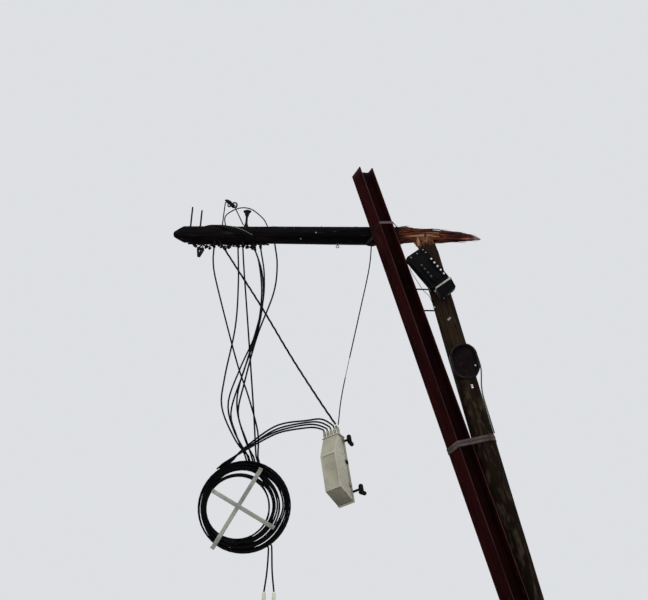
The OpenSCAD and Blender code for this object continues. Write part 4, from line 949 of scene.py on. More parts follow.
def makeTornStrips():
    bm = bmesh.new()
    for _ in range(tear["strips"]):
        angle = between(0, 360)
        s = between(0.09, 0.60)
        long = between(0.07, 0.24) * (1.0 - 0.5 * max(0.0, s - 0.4))
        long = min(long, 0.798 - s)
        drift = between(-16, 16)
        lift = between(-0.002, 0.005)
        points = [tornFace(s + long * t, angle + drift * t, -0.004 + (lift + 0.004) * t ** 1.5 * 2)
                  for t in (0, 0.35, 0.7, 1.0)]
        out = (tornFace(s, angle, 0.02) - tornFace(s, angle)).normalized()
        tone = chance.choice([0, 0, 1, 0, 0] if 70 < angle < 140 and s > 0.16 else [0, 0, 2, 0, 2])
        if s > 0.45 or s < 0.14:
            tone = chance.choice([0, 2, 0])
        strip(bm, points, between(0.004, 0.013), between(0.0025, 0.006), tone, out=out,
              belly=between(0, 0.4))
    # the last splinters, which make the ragged tip
    for s, high, front, toS, toHigh, wide, tone in [
            (0.600, 0.030, 0.010, 0.772, 0.004, 0.015, 2), (0.620, -0.002, 0.014, 0.790, -0.014, 0.014, 0),
            (0.640, -0.026, 0.006, 0.800, -0.024, 0.011, 2), (0.560, 0.040, 0.000, 0.650, 0.034, 0.012, 2),
            (0.655, -0.034, -0.004, 0.782, -0.031, 0.012, 0), (0.700, -0.012, 0.004, 0.803, -0.023, 0.007, 3),
            (0.560, -0.040, 0.012, 0.660, -0.043, 0.011, 2), (0.350, 0.060, 0.010, 0.440, 0.070, 0.013, 2),
            (0.300, 0.052, 0.020, 0.395, 0.067, 0.011, 2), (0.130, 0.078, 0.012, 0.205, 0.088, 0.016, 2),
            (0.440, -0.050, 0.010, 0.520, -0.053, 0.010, 0), (0.215, -0.044, 0.030, 0.300, -0.050, 0.009, 1)]:
        points = [logOver(s, high, front), logOver((s + toS) / 2, (high + toHigh) / 2 + 0.002, front * 0.8),
                  logOver(toS, toHigh, front * 0.4)]
        strip(bm, points, wide, wide * 0.55, tone, steps=10, belly=0.2)
    markTorn(bm)
    keep("tornStrips", bm, [tornWood, paleWood, barkWood, greyWood], "torn_splinters", sharp=40)


def makeFallenTop():
    head, tearEnd, end, start = log["head"] / 2, log["tear"] / 2, log["tearReach"], -log["headReach"]
    reach, sound = end - start, 0.02  # beyond sound, the log's rim is torn
    blunt = [(0, 1), (0.10, 0.998), (0.20, 0.988), (0.29, 0.96), (0.36, 0.915), (0.42, 0.85), (0.52, 0.71),
             (0.62, 0.57), (0.72, 0.43), (0.82, 0.29), (0.90, 0.178), (0.95, 0.10), (0.985, 0.04), (1, 0)]
    profile = [(head * r, start - log["cap"] * z) for r, z in blunt]
    count = int(reach / wood["logRing"])
    profile += [(head + (tearEnd - head) * (i + 1) / count, start + reach * (i + 1) / count)
                for i in range(count)]
    profile += [(tearEnd * (1 - (i + 1) / 12), end + 1.0) for i in range(12)]
    bm = turned(profile, wood["logSteps"])
    torn = layer(bm, "torn")
    for v in bm.verts:
        radius = hypot(v.co.x, v.co.y)
        if v.co.z > sound:
            share = min(1.0, (v.co.z - sound) / (end - sound))
            angle = atan2(v.co.x, v.co.y)  # 0 at the crown
            rag = 0.030 * cos(angle) ** 2 * (1 if cos(angle) > 0 else 0.4) - 0.03
            rag += 0.045 * (patchwork(cos(angle) * 6.5 + 9, sin(angle) * 6.5 + 9, 1.5) - 0.5)
            rag += 0.016 * ripple(cos(angle) * 14, sin(angle) * 14, 8)
            v.co.z = sound + (end + min(rag, 0.0) - sound) * share if v.co.z < end + 0.5 else end - 0.05
            v[torn] = 1.0 if radius < tearEnd * 0.97 else 0.0
    cracks = makeCracks(30, -1.75, 0.1, 0.8) + makeCracks(8, -1.78, -1.5, 0.3)
    knots = makeKnots(6, -1.5, 0.0, 0.012, 0.024)
    weather(bm, cracks, knots, lambda p: hypot(p.x, p.y) > head * 0.6 and p.z < end - 0.049
            or hypot(p.x, p.y) > tearEnd * 0.97, 0.007)
    for face in bm.faces:
        if all(v[torn] > 0.5 for v in face.verts):
            face.material_index = 1
    keep("fallenTop", bm, [tarredWood, barkWood], "fallen_top", onLog(0), sharp=50)


def makeStubSplinters():
    bm = bmesh.new()
    top = pole["tongue"]

    def poleSpot(x, y, z):
        return onPole(pole["breakHeight"]) @ Vector((x, y, z))

    held = [((0.001, 0.040, top), logFace(0.285, 152, 0.002), 0.020, 0.013, 0),
            ((0.022, 0.014, top), logFace(0.312, 148, 0.002), 0.022, 0.014, 2),
            ((0.022, 0.046, top), poleSpot(0.034, 0.062, top + 0.072), 0.018, 0.011, 2),
            ((-0.046, -0.020, 0), poleSpot(-0.060, -0.033, 0.092), 0.021, 0.014, 1),
            ((-0.048, 0.014, 0), logFace(0.228, 148, 0.002), 0.024, 0.015, 0),
            ((-0.046, 0.044, 0), poleSpot(-0.051, 0.070, 0.127), 0.018, 0.012, 1)]
    for foot, tip, wide, thick, tone in held:
        start = poleSpot(foot[0], foot[1], foot[2] - 0.012)
        middle = (start + tip) / 2 + poleDir * (tip - start).length * 0.08
        strip(bm, [start, middle, tip], wide, thick, tone, steps=12, belly=0.3)
        for _ in range(2):
            off = Vector((between(-0.008, 0.008), between(-0.008, 0.008), 0))
            strip(bm, [start + off, middle + off * 1.3, start + (tip - start) * between(0.6, 0.9) + off * 2],
                  wide * 0.4, thick * 0.5, chance.choice([0, 1, 2]), steps=9)
    for _ in range(wood["slivers"]):
        a, r = between(0, tau), pole["top"] / 2 * sqrt(between(0.05, 0.94))
        x, y = r * cos(a), r * sin(a)
        foot = poleSpot(x, y, crest(x, y) - 0.012)
        lean = Vector((between(-0.12, 0.12), between(-0.12, 0.12), 0))
        tip = foot + (poleDir + lean) * between(0.014, 0.038)
        strip(bm, [foot, (foot + tip) / 2, tip], between(0.003, 0.008), between(0.002, 0.005),
              chance.choice([0, 1, 1, 2] if x < 0.01 else [0, 2, 2, 2]), steps=5)
    keep("stubSplinters", bm, [tornWood, paleWood, barkWood], "stub_splinters", sharp=40)


makeStub()
makeFallenTop()
makeTornCore()
makeTornStrips()
makeStubSplinters()
print("wood ready")

# the steel beam
beamLook = {"edge": 0.0016, "station": 0.055, "burr": 0.0014}


def beamOutline():
    half, wide, edge = beam["depth"] / 2, beam["width"] / 2, beamLook["edge"]
    inner, web, root = half - beam["flange"], beam["web"] / 2, beam["root"]
    quarter = [(half, wide * k) for k in (0.25, 0.55, 0.8, 0.92)]
    quarter += [(half, wide - edge), (half - edge * 0.3, wide - edge * 0.3), (half - edge, wide),
                (inner + edge, wide), (inner + edge * 0.3, wide - edge * 0.3), (inner, wide - edge)]
    quarter += [(inner, wide * k) for k in (0.92, 0.8, 0.6, 0.4)]
    quarter += [(inner - root + root * cos(radians(a)), web + root - root * sin(radians(a)))
                for a in (0, 18, 36, 54, 72, 90)]
    quarter += [(inner * k, web) for k in (0.5, 0.2)]
    return (quarter + [(-x, y) for x, y in reversed(quarter)] + [(-x, -y) for x, y in quarter]
            + [(x, -y) for x, y in reversed(quarter)])


def makeBeam():
    long = beam["top"] / beamDir.z
    count = int(long / beamLook["station"])
    foot = shift(beamAt(0)) @ beamFull
    frames = [foot @ shift(0, 0, -buried + (long + buried) * i / count) for i in range(count + 1)]
    bm = sweep(beamOutline(), frames)
    wearAndHighlight, sootAndShade = layer(bm, "wearAndHighlight"), layer(bm, "sootAndShade")
    back = foot.inverted()
    for v in bm.verts:
        p = back @ v.co
        half, wide = beam["depth"] / 2, beam["width"] / 2
        # Lighter along the flange tips as a painted highlight, and in random patches of wear.
        tip = max(0.0, 1 - (wide - abs(p.y)) / 0.0022)
        patch = 0.55 + 0.45 * ripple(p.x * 9, p.y * 9, p.z * 6)
        v[wearAndHighlight] = min(1.0, tip * patch * 0.9 + 0.6 * max(0.0, ripple(p.x * 14, p.y * 14, p.z * 2.3) - 0.42))
        # Darker inside the channel between the flanges as painted shade, and in random dark patches.
        inside = max(0.0, 1 - abs(p.y) / (wide * 0.75)) if abs(p.x) < half - 0.002 else 0.0
        v[sootAndShade] = inside * 0.75 + max(0.0, ripple(p.x * 5, p.y * 5, p.z * 1.7 + 5) - 0.2)
        if p.z > long - 0.002:
            v[wearAndHighlight] = 0.5
            v.co += beamDir * beamLook["burr"] * (noise.noise(v.co * 70) - 0.4)
    cutAtGround(bm)
    keep("steelBeam", bm, rust, "steel_beam", sharp=32)


makeBeam()
print("beam ready")

# straps, buckle and rods
straps = {"thick": 0.0025, "wide": 0.022, "lower": 3.455, "apart": 0.024, "right": 0.110, "left": -0.150,
          "low": 0.022, "buckle": (0.024, 0.012, 0.054), "off": 0.0012, "offCorner": 0.0016, "steps": 144}
rods = {"wide": 0.012, "heights": (4.800, 4.605)}


# Softens the corners of a closed row of points
def softened(points, cut):
    soft, steps = [], 4
    for i, here in enumerate(points):
        before, after = points[i - 1] - here, points[(i + 1) % len(points)] - here
        a = here + before.normalized() * min(cut, before.length * 0.45)
        b = here + after.normalized() * min(cut, after.length * 0.45)
        for k in range(steps + 1):
            t = k / steps
            soft.append(a * (1 - t) ** 2 + here * 2 * t * (1 - t) + b * t * t)
    return soft


# A closed flat band through points; its thickness lies outside them
def band(points, outs, wide, thick):
    frames = []
    for i, (point, out) in enumerate(zip(points, outs)):
        along = (points[(i + 1) % len(points)] - points[i - 1]).normalized()
        out = (out - along * out.dot(along)).normalized()
        frames.append(shift(point) @ Matrix((out.cross(along), out, along)).transposed().to_4x4())
    w, e = wide / 2, thick * 0.3
    outline = [(-w, e), (-w + e, 0), (w - e, 0), (w, e), (w, thick - e), (w - e, thick), (-w + e, thick),
               (-w, thick - e)]
    return sweep(outline, frames + frames[:1], closed=True)


# The pole's middle in the beam's own frame, where both are cut square to the beam
def poleInBeam(height):
    spot = poleDir * (beamAt(height).dot(beamDir) / poleDir.dot(beamDir))
    return beamFull.to_3x3().inverted() @ (spot - beamAt(height)), poleRadius(spot.z)


def makeStraps():
    middle = (beamAt(log["cross"]) + logMid) / 2
    points = []
    steps = 24
    for i in range(steps + 1):
        a = pi * i / steps
        s = straps["right"] + (straps["left"] - straps["right"]) * i / steps
        points.append(logAt(s) + (logRadius(s) + straps["off"]) * (logUp * cos(a) + logBack * sin(a)))
    x, y = beam["depth"] / 2 + straps["offCorner"], beam["width"] / 2 + straps["offCorner"]
    corners = [beamAt(log["cross"] - straps["low"] * share) + beamFull @ Vector(spot)
               for share, spot in ((3, (-x, y, 0)), (1, (-x, -y, 0)), (0.5, (x, -y, 0)))]
    line = softened(points + corners, 0.005)
    bm = band(line, [p - middle for p in line], straps["wide"], straps["thick"])
    bare = layer(bm, "bare")
    toBeam = onBeam(log["cross"]).inverted()
    for v in bm.verts:
        spot = toBeam @ v.co
        v[bare] = 1.0 if spot.y < -beam["width"] / 2 - 0.001 and spot.x > -beam["depth"] / 2 else 0.0
    keep("upperStrap", bm, dimStrap, "upper_lashing", sharp=50)

    for number, side in enumerate((-1, 1)):
        height = straps["lower"] + side * straps["apart"] / 2
        middle, radius = poleInBeam(height)
        line, outs = [], []
        for x, y in roundLine(1.0, straps["steps"]):
            d = Vector((x, y, 0))
            corner = Vector((copysign(beam["depth"] / 2, d.x), copysign(beam["width"] / 2, d.y), 0))
            ringSpot = Vector((middle.x, middle.y, 0)) + d * radius
            spot = (ringSpot if ringSpot.dot(d) > corner.dot(d) else corner) + d * straps["off"]
            line.append(onBeam(height) @ spot)
            outs.append(beamFull @ d)
        bm = band(line, outs, straps["wide"], straps["thick"])
        keep(f"lowerStrap{number + 1}", bm, strapSteel, "lower_lashing", sharp=50)

    middle, radius = poleInBeam(straps["lower"])
    w, t, h = straps["buckle"]
    bm = block((w, t * 0.45, h), (0, t * 0.275, 0), 0.0012)
    for z in (-0.38, 0.38):
        addBlock(bm, (w, t, h * 0.16), (0, 0, z * h), 0.0018)
    addTo(bm, peg(0.0062, 0, 0.005, 6, (0.0012, 0.001)), shift(0, -0.0004, 0) @ turn(x=90))
    keep("strapBuckle", bm, strapSteel, "lashing_buckle",
         onBeam(straps["lower"]) @ shift(middle.x, middle.y - radius - 0.0041 - t / 2, 0))


def makeRods():
    bm = bmesh.new()
    r = rods["wide"] / 2
    for height in rods["heights"]:
        start = beamAt(height) + beamFull @ Vector((beam["depth"] / 2 + gap, beam["width"] / 4, 0))
        middle, _ = poleInBeam(height)
        long = (onBeam(height) @ middle - start).length - 0.01
        profile = [(0, 0)] + [(r - 0.0005 * (k % 2), 0.0011 * k) for k in range(48)]
        profile += [(r, 0.054), (r, long * 0.6), (r, long), (0, long)]
        addTo(bm, turned(profile, 20), shift(start) @ beamFull @ turn(y=90))
    keep("tieRods", bm, darkIron, "tie_rods", sharp=50)


makeStraps()
makeRods()
print("straps and rods ready")

# the terminal box, in its own frame: X across it, Z along it, back at Y = 0
box = {"wide": 0.171, "long": 0.335, "deep": 0.080, "corner": 0.014, "portTop": 0.0345, "pitch": 0.039,
       "span": 0.094, "port": 0.018, "tailWide": 0.145, "tailLong": 0.095, "tailShift": 0.015, "neck": 0.018,
       "screw": (0.012, 0.005)}
wireBolt = {"height": 4.595, "turn": -72, "long": 0.014, "wide": 0.018, "wire": 0.004}


def hexNut(across, tall):
    r = across / sqrt(3)
    return peg(r, 0, tall, 6, (r * 0.1, tall * 0.15))


def screwHead(target, place):
    wide, tall = box["screw"]
    r = wide / 2
    addTo(target, turned([(0, 0), (r, 0), (r, tall * 0.42), (r * 0.86, tall * 0.75), (r * 0.5, tall * 0.95),
                          (0, tall)], 20), place)
    addTo(target, block((wide * 0.74, wide * 0.1, tall * 0.1), (0, 0, tall * 0.97), 0), place, tone=1)


def makeTerminalBox():
    deep, base, lid = box["deep"], box["deep"] * 0.55, box["deep"] * 0.35
    middle = (box["wide"] - box["tailWide"]) / 2
    wide, long = box["wide"], box["long"]
    bm = block((wide, base - 0.003, long), (0, -base / 2 + 0.0015, 0), 0.003, 3, ("y", box["corner"]))
    addBlock(bm, (wide + 0.0016, 0.004, long + 0.0016), (0, -base + 0.0032, 0), 0.0012, 2,
             ("y", box["corner"]))
    for z in (-0.30, 0.02, 0.34):
        for side in (-1, 1):
            addBlock(bm, (0.004, base * 0.5, 0.020), (side * wide / 2, -base * 0.55, z * long), 0.0014)
    keep("terminalBack", bm, blackPlastic, "terminal_box", inBox)

    top = -base - lid
    bm = block((wide - 0.006, lid + 0.001, long - 0.006), (0, -base - lid / 2 + 0.0005, 0), 0.004, 3,
               ("y", box["corner"] - 0.003))
    addBlock(bm, (0.056, 0.004, long - 0.100), (middle, top - 0.002, -0.012), 0.0015, 2, ("y", 0.004))
    for k in range(5):
        addBlock(bm, (0.040, 0.0014, 0.0030), (middle, top - 0.0045, 0.075 - 0.036 * k), 0.0006)
    for side in (-1, 1):
        addBlock(bm, (box["port"] + 0.014, 0.008, 4 * box["pitch"] + 0.032),
                 (middle + side * box["span"] / 2, top - 0.004, box["portTop"] - 2 * box["pitch"]), 0.002, 3,
                 ("y", 0.0150))
        addBlock(bm, (0.003, 0.0016, long * 0.22), (side * wide * 0.30, top - 0.0006, long * 0.36), 0.0007)
    keep("terminalCover", bm, blackPlastic, "terminal_cover", inBox)

    for name, side, count, look, slot, node in (
            ("portPlugs", 1, 5, portPlastic, "port_plastic", "terminal_plugs"),
            ("emptyPorts", -1, 4, portDull, "port_dull", "terminal_ports")):
        bm = bmesh.new()
        for i in range(count):
            z = box["portTop"] - i * box["pitch"]
            place = shift(middle + side * box["span"] / 2, -deep, z) @ turn(x=90)
            addTo(bm, peg(0.0130, 0, 0.003, 12, (0.0008, 0.0006)), place, tone=1)
            r = box["port"] / 2 - (0.0015 if side > 0 else 0)
            cap = turned([(0, 0.0028), (r, 0.0028), (r, 0.0042), (r - 0.0006, 0.0048), (r - 0.0006, 0.0106),
                          (r - 0.001, 0.0118), (r - 0.0024, 0.0136), (r * 0.45, 0.0143), (r * 0.38, 0.0136),
                          (0, 0.0136)], 32)
            for v in cap.verts:
                if 0.0045 < v.co.z < 0.0110:
                    swell = 1 + 0.055 * (round(atan2(v.co.y, v.co.x) / tau * 32) % 2)
                    v.co.x, v.co.y = v.co.x * swell, v.co.y * swell
            addTo(bm, cap, place @ turn(z=between(0, 90)))
        keep(name, bm, [look, blackFitting], node, inBox, sharp=45)

    w, drop, tailDeep = box["tailWide"] / 2, box["tailLong"], deep - 0.004
    outline = [(-w, 0), (-w, -box["neck"]), (-w - box["tailShift"], -drop - 0.008),
               (w - box["tailShift"], -drop + 0.006), (w, -box["neck"]), (w, 0)]
    bm = sheetCut(outline, tailDeep, 0.003, 3)
    for share in (0.30, 0.62, 0.94):
        z = -box["neck"] - (drop - box["neck"]) * share * 0.86
        lean = -box["tailShift"] * share * 0.86
        addBlock(bm, (2 * w - 0.022, 0.0016, 0.0030), (lean, -deep + 0.0036, z), 0.0007)
    keep("terminalTail", bm, blackPlastic, "terminal_tail",
         inBox @ shift(middle, 0, -long / 2))

    halfX, halfY, high = w + gap, tailDeep / 2 + gap, box["neck"] - 0.004
    ring = softened([Vector((x * halfX, y * halfY, 0)) for x, y in ((-1, -1), (1, -1), (1, 1), (-1, 1))],
                    0.004)
    bm = band(ring, ring, high, 0.003)
    addBlock(bm, (0.022, 0.004, 0.012), (0.030, -halfY - 0.0035, 0), 0.001)
    keep("tailStrap", bm, dullStrap, "terminal_strap",
         inBox @ shift(middle, -tailDeep / 2, -long / 2 - box["neck"] + 0.001 + high / 2))

    bm = block((0.060, 0.006, 0.140), (0, 0.003, 0), 0.0015)
    for side in (-1, 1):
        addBlock(bm, (0.006, 0.094, 0.140), (side * 0.027, 0.047, 0), 0.0015)
        addTo(bm, hexNut(0.013, 0.007), shift(side * 0.030, 0.018, 0.045) @ turn(y=90 * side))
    keep("boxBracket", bm, darkPaint, "terminal_bracket",
         shift(poleAt(boxAt["height"]) + Vector((0, gap - boxOut, 0))) @ turn(y=-pole["lean"]))

    bm = bmesh.new()
    for x, z in ((-0.140, -0.028), (-0.081, -0.028), (-0.024, -0.028), (-0.020, -0.060)):
        screwHead(bm, shift(wide / 2 + x, top - gap, long / 2 + z) @ turn(x=90) @ turn(z=between(0, 180)))
    slant = degrees(atan2(0.014, box["tailWide"]))
    for x in (-0.36, 0, 0.36):
        screwHead(bm, shift(middle + x * box["tailWide"] - box["tailShift"], -tailDeep / 2,
                            x * 0.014 - long / 2 - drop - 0.001 - gap) @ turn(180, -slant))
    keep("boxScrews", bm, [dullZinc, blackFitting], "terminal_screws", inBox)


def makeEarthWire():
    long, base = box["long"], box["deep"] * 0.55
    bolt = onPole(wireBolt["height"]) @ turn(z=wireBolt["turn"])
    radius = poleRadius(wireBolt["height"]) + gap
    tip = bolt @ Vector((0, -radius - wireBolt["long"] / 2, 0.009 + gap))
    points = [inBox @ Vector((-box["wide"] / 2 - off, -base / 2, long * share))
              for off, share in ((gap + 0.002, 0.28), (0.022, 0.20), (0.048, -0.33))]
    points += [tip + Vector((-0.034, -0.006, 0.084)), tip + Vector((-0.002, 0, 0.004))]
    cable("earthWire", [smoothLine(points, 26)], wireBolt["wire"], "earth_wire", blackFitting)
    r = wireBolt["wide"] / 2
    bm = peg(r, 0, 0.0025, 20, (r * 0.1, 0.0005))
    addTo(bm, hexNut(r * 1.5, 0.008), shift(0, 0, 0.0024))
    addTo(bm, peg(0.004, 0.009, 0.014, 14, (0.001, 0.0008)))
    keep("wireBolt", bm, zinc, "wire_bolt", bolt @ shift(0, -radius, 0) @ turn(x=90))


makeTerminalBox()
makeEarthWire()
print("terminal box ready")

# the oval plate, in its own frame on the pole
plate = {"wide": 0.206, "long": 0.280, "front": 0.018, "rim": 0.014, "hood": 0.016, "bolt": 0.016,
         "riser": 0.010}
riserShare = [(84, 1.5, 0.8), (22, 1.55, 0.78), (-42, 1.52, 0.75), (-105, 1.35, 0.66), (-170, 1.16, 0.48),
              (-250, 1.06, 0.32), (-400, 1.06, 0.3), (-536, 1.06, 0.3)]


def stadium(wide, long, steps=72):
    spots = []
    for k in range(steps):
        a = tau * (k + 0.5) / steps
        spots.append((cos(a) * wide / 2, sin(a) * wide / 2 + copysign((long - wide) / 2, sin(a)),
                      cos(a), sin(a)))
    return spots


def makePlate():
    radius = poleRadius(plateAt["height"])
    back, front, rim = radius * 0.66, radius + plate["front"], plate["rim"]
    frames = [shift(x, 0, z) @ Matrix(((0, -1, 0), (nx, 0, nz), (-nz, 0, nx))).transposed().to_4x4()
              for x, z, nx, nz in stadium(plate["wide"], plate["long"])]
    e = 0.003
    outline = [(back, -rim), (back, 0), (front - 0.020, 0), (front - e, 0), (front - e * 0.3, -e * 0.3),
               (front, -e), (front, -rim + e), (front - e * 0.3, -rim + e * 0.3), (front - e, -rim)]
    bm = sweep(outline, frames + frames[:1], closed=True)
    wearAndHighlight = layer(bm, "wearAndHighlight")
    for v in bm.verts:
        depth = -v.co.y
        if depth > front - 0.005:
            lift = min(1.0, max(0.0, (v.co.z + 0.006) / 0.014))
            v.co.y -= plate["hood"] * lift * lift * (3 - 2 * lift)
            # The rim's front is lighter: wear with a painted highlight along the edge.
            v[wearAndHighlight] = 0.45 + 0.6 * noise.noise(v.co * 24)
    keep("plateRim", bm, plumPlastic, "oval_rim", onPlate, sharp=45)

    less = 2 * rim + 0.0006
    inside = [(x, z) for x, z, _, _ in stadium(plate["wide"] - less, plate["long"] - less)]
    bm = sheetCut(inside, 0.012, 0.0015)
    face = [f for f in bm.faces if f.normal.y < -0.9 and f.calc_area() > 0.01]
    panel(bm, face, 0.003, -0.0025)
    keep("ovalPlate", bm, plumPlastic, "oval_plate",
         onPlate @ shift(0, -(front - plate["front"] / 3 - 0.012), 0), sharp=30)

    r = plate["bolt"] / 2
    low = plateAt["height"] - plate["long"] / 2 - rim - 2 * plate["front"]
    bm = bmesh.new()
    spots = [(onPole(low) @ turn(z=9) @ shift(0, -poleRadius(low) - gap, 0) @ turn(x=90), 0.012),
             (onPlate @ shift(plate["wide"] / 2 - rim - 1.4 * plate["bolt"],
                              -front + plate["front"] / 3 - gap, -0.050) @ turn(x=90), 0.010)]
    addTo(bm, block((0.015, 0.030, 0.003), (0, -0.006, 0.0015), 0.001), spots[0][0])
    for tone, (spot, tall) in enumerate(spots):
        addTo(bm, peg(r, 0, 0.002, 20, (r * 0.08, 0.0004)), spot, tone=tone)
        addTo(bm, hexNut(r * 1.5, tall - 0.004), spot @ shift(0, 0, 0.0019) @ turn(z=17), tone=tone)
        addTo(bm, peg(0.0038, tall - 0.004, tall, 14, (0.0008, 0.0006)), spot)
    keep("plateBolts", bm, [zinc, dullZinc], "plate_bolts")

    points = []
    for rise, right, forward in riserShare:
        z = plateAt["height"] + rise / 1000
        points.append(poleAt(z) + poleRadius(z) * Vector((right, -forward, 0)))
    cable("riserCable", [smoothLine(points, 44)], plate["riser"], "riser_cable", greySheath)


makePlate()
print("plate ready")

# the splice box, in its own frame: origin at the middle of its top's front edge, X to its back
splice = {"wide": 0.130, "deep": 0.190, "topDeep": 0.100, "long": 0.540, "slope": 0.180, "front": 0.290,
          "tray": 0.022, "seal": 0.004, "latch": (0.032, 0.009, 0.030), "latchPitch": 0.190, "lug": 0.012,
          "hanger": (0.076, -0.030), "hangerLong": 0.090, "eye": 0.014, "eyeBar": 0.008}
hangerEye = inSplice @ Vector((*splice["hanger"], sleeve["foot"] + splice["hangerLong"]))


def makeSplice():
    wide, topDeep, seal = splice["wide"], splice["topDeep"], splice["seal"]
    front = topDeep - splice["deep"]
    knee = splice["slope"] + splice["front"]
    trayX = topDeep - splice["tray"]

    def endZ(x):
        return -knee - (splice["long"] - knee) * (x - front) / splice["deep"]

    def body(outline, across, round, steps=2):
        part = sheetCut(outline, across, round, steps)
        part.transform(shift(0, across / 2, 0))
        return part

    bm = body([(trayX - seal, -seal), (0, -seal), (front, -splice["slope"]), (front, -knee),
               (trayX - seal, endZ(trayX - seal))], wide, 0)
    bmesh.ops.recalc_face_normals(bm, faces=bm.faces)
    for direction, least, depth in ((Vector((-1, 0, 0)), 0.95, -0.003),
                                    (Vector((-0.9, 0, 0.45)), 0.95, -0.0015)):
        face = [f for f in bm.faces if f.normal.dot(direction.normalized()) > least]
        panel(bm, face, 0.002, depth)
    roundOff(bm, edgesOver(bm, 20), 0.0016, 3)
    # Faces turned down take the darker beige, as painted shade.
    for face in bm.faces:
        if face.normal.z < -0.4:
            face.material_index = 1
        # The side facing -Y takes the lighter beige, as painted light.
        elif face.normal.y < -0.9:
            face.material_index = 2
    # A painted highlight along the corners where the front meets the sides.
    wearAndHighlight = layer(bm, "wearAndHighlight")
    for v in bm.verts:
        edge = max(0.0, 1 - (wide / 2 - abs(v.co.y)) / 0.003)
        v[wearAndHighlight] = 0.7 * (edge * max(0.0, 1 - max(0.0, v.co.x - front - 0.02) / 0.02))
    for z in (0.30, 0.55, 0.80):
        for side in (-1, 1):
            addBlock(bm, (0.060, 0.0024, 0.003), (0.020, side * wide / 2, -splice["long"] * z), 0.0008)
    keep("spliceCover", bm, [beige, beigeShadedUnderside, beigeLitSide], "splice_cover", inSplice,
         sharp=30)

    bm = body([(trayX, 0), (topDeep, 0), (topDeep, endZ(topDeep)), (trayX, endZ(trayX))], wide + 0.008, 0.003,
              3)
    for z in (0.2, 0.4, 0.6, 0.8):
        addBlock(bm, (0.006, wide * 0.7, 0.008), (topDeep + 0.0028, 0, -splice["long"] * z + 0.004), 0.0015)
    for side in (-1, 1):
        addBlock(bm, (0.004, 0.0016, splice["long"] * 0.9),
                 (trayX + 0.004, side * (wide / 2 + 0.0044), -splice["long"] * 0.48), 0.0006)
    keep("spliceTray", bm, beige, "splice_back", inSplice)

    bm = body([(trayX - seal, -seal), (trayX, -seal), (trayX, endZ(trayX)),
               (trayX - seal, endZ(trayX - seal))], wide + 0.002, 0.0008)
    inner = trayX - seal - 0.001
    addTo(bm, body([(0, -seal), (inner, -seal), (inner, 0), (0, 0)], wide + 0.002, 0.0008))
    keep("spliceSeal", bm, sealRubber, "splice_seal", inSplice)

    r = sleeve["wide"] / 2
    foot = sleeve["foot"]
    bm = block((topDeep, wide + 2 * foot, foot), (topDeep / 2, 0, foot / 2), 0.002, 3)
    for i in range(5):
        spot = shift(sleeve["x"], (i - 2) * sleeve["pitch"], foot)
        addTo(bm, peg(r + 0.00125, 0, 0.014, 6, (0.00085, 0.0015)), spot)
        ribs = [(0, 0.012), (r, 0.0125), (r, 0.0175)]
        for low, high in ((0.019, 0.028), (0.036, 0.042)):
            for k in range(4):
                z = low + (high - low) * k / 3
                ribs += [(r - 0.0015, z), (r - 0.0006, z + (high - low) / 9),
                         (r - 0.0015, z + (high - low) / 4.5)]
            ribs += [(r, high + off) for off in ((0.0035, 0.005) if high > 0.04 else (0.002, 0.006))]
        top = sleeve["long"]
        ribs += [(r - 0.002, 0.0495), (r - 0.002, top - 0.004), (r - 0.001, top - 0.003),
                 (r - 0.001, top - 0.0006), (r - 0.0018, top), (r * 0.62, top), (r * 0.60, top - 0.0008),
                 (0, top - 0.0008)]
        addTo(bm, turned(ribs, 24), spot)
    keep("spliceGlands", bm, beige, "splice_glands", inSplice, sharp=35)

    lx, ly, lz = splice["latch"]
    bm = bmesh.new()
    for i in (0, 2, 1):
        done = set(bm.faces)
        for side in (-1, 1):
            x, z = trayX - lx * 0.25, -lz / 2 - 0.012 - i * splice["latchPitch"]
            y = side * (wide / 2 + 0.0043 + ly / 2)
            addBlock(bm, (lx, ly * 0.72, lz), (x, y - side * ly * 0.14, z), 0.0022, 3)
            addBlock(bm, (lx * 0.5, ly * 0.5, lz * 0.62), (x - lx * 0.10, y + side * ly * 0.25, z), 0.0016)
            middle = (x - lx * 0.2 + 0.0016, side * (wide / 2 + 0.0022), z)
            addBlock(bm, (lx * 0.5, 0.004, lz - 0.012), middle, 0.001)
        for face in set(bm.faces) - done if i == 1 else ():
            face.material_index = 1
    keep("spliceLatches", bm, [latchPlastic, blackFitting], "splice_latches", inSplice)

    bm = bmesh.new()
    thick = splice["lug"]
    for z, arm, slant in ((-0.030, 0.042, 28), (-0.456, 0.070, 55)):
        y = -wide / 2 - 0.004 - gap - arm
        addBlock(bm, (thick, arm, 0.016), (topDeep - thick / 2, y + arm / 2, z), 0.0015)
        for lobe, dy, dz, lean in (((0.036, 0.078), 0, 0, 0), ((0.032, 0.066), -0.006, -0.034, slant)):
            c, d = cos(radians(lean)), sin(radians(lean))
            outline = [(px * c + pz * d, pz * c - px * d) for px, pz, _, _ in stadium(*lobe, 32)]
            place = shift(topDeep - thick, y + dy, z + dz) @ turn(z=90)
            addTo(bm, sheetCut(outline, thick, 0.002, 3), place)
            addTo(bm, peg(0.0075, 0, 0.0022, 18, (0.0015, 0.0012)),
                  shift(topDeep - thick - 0.0001, y + dy, z + dz) @ turn(y=-90))
    keep("spliceLugs", bm, blackFitting, "splice_lugs", inSplice)

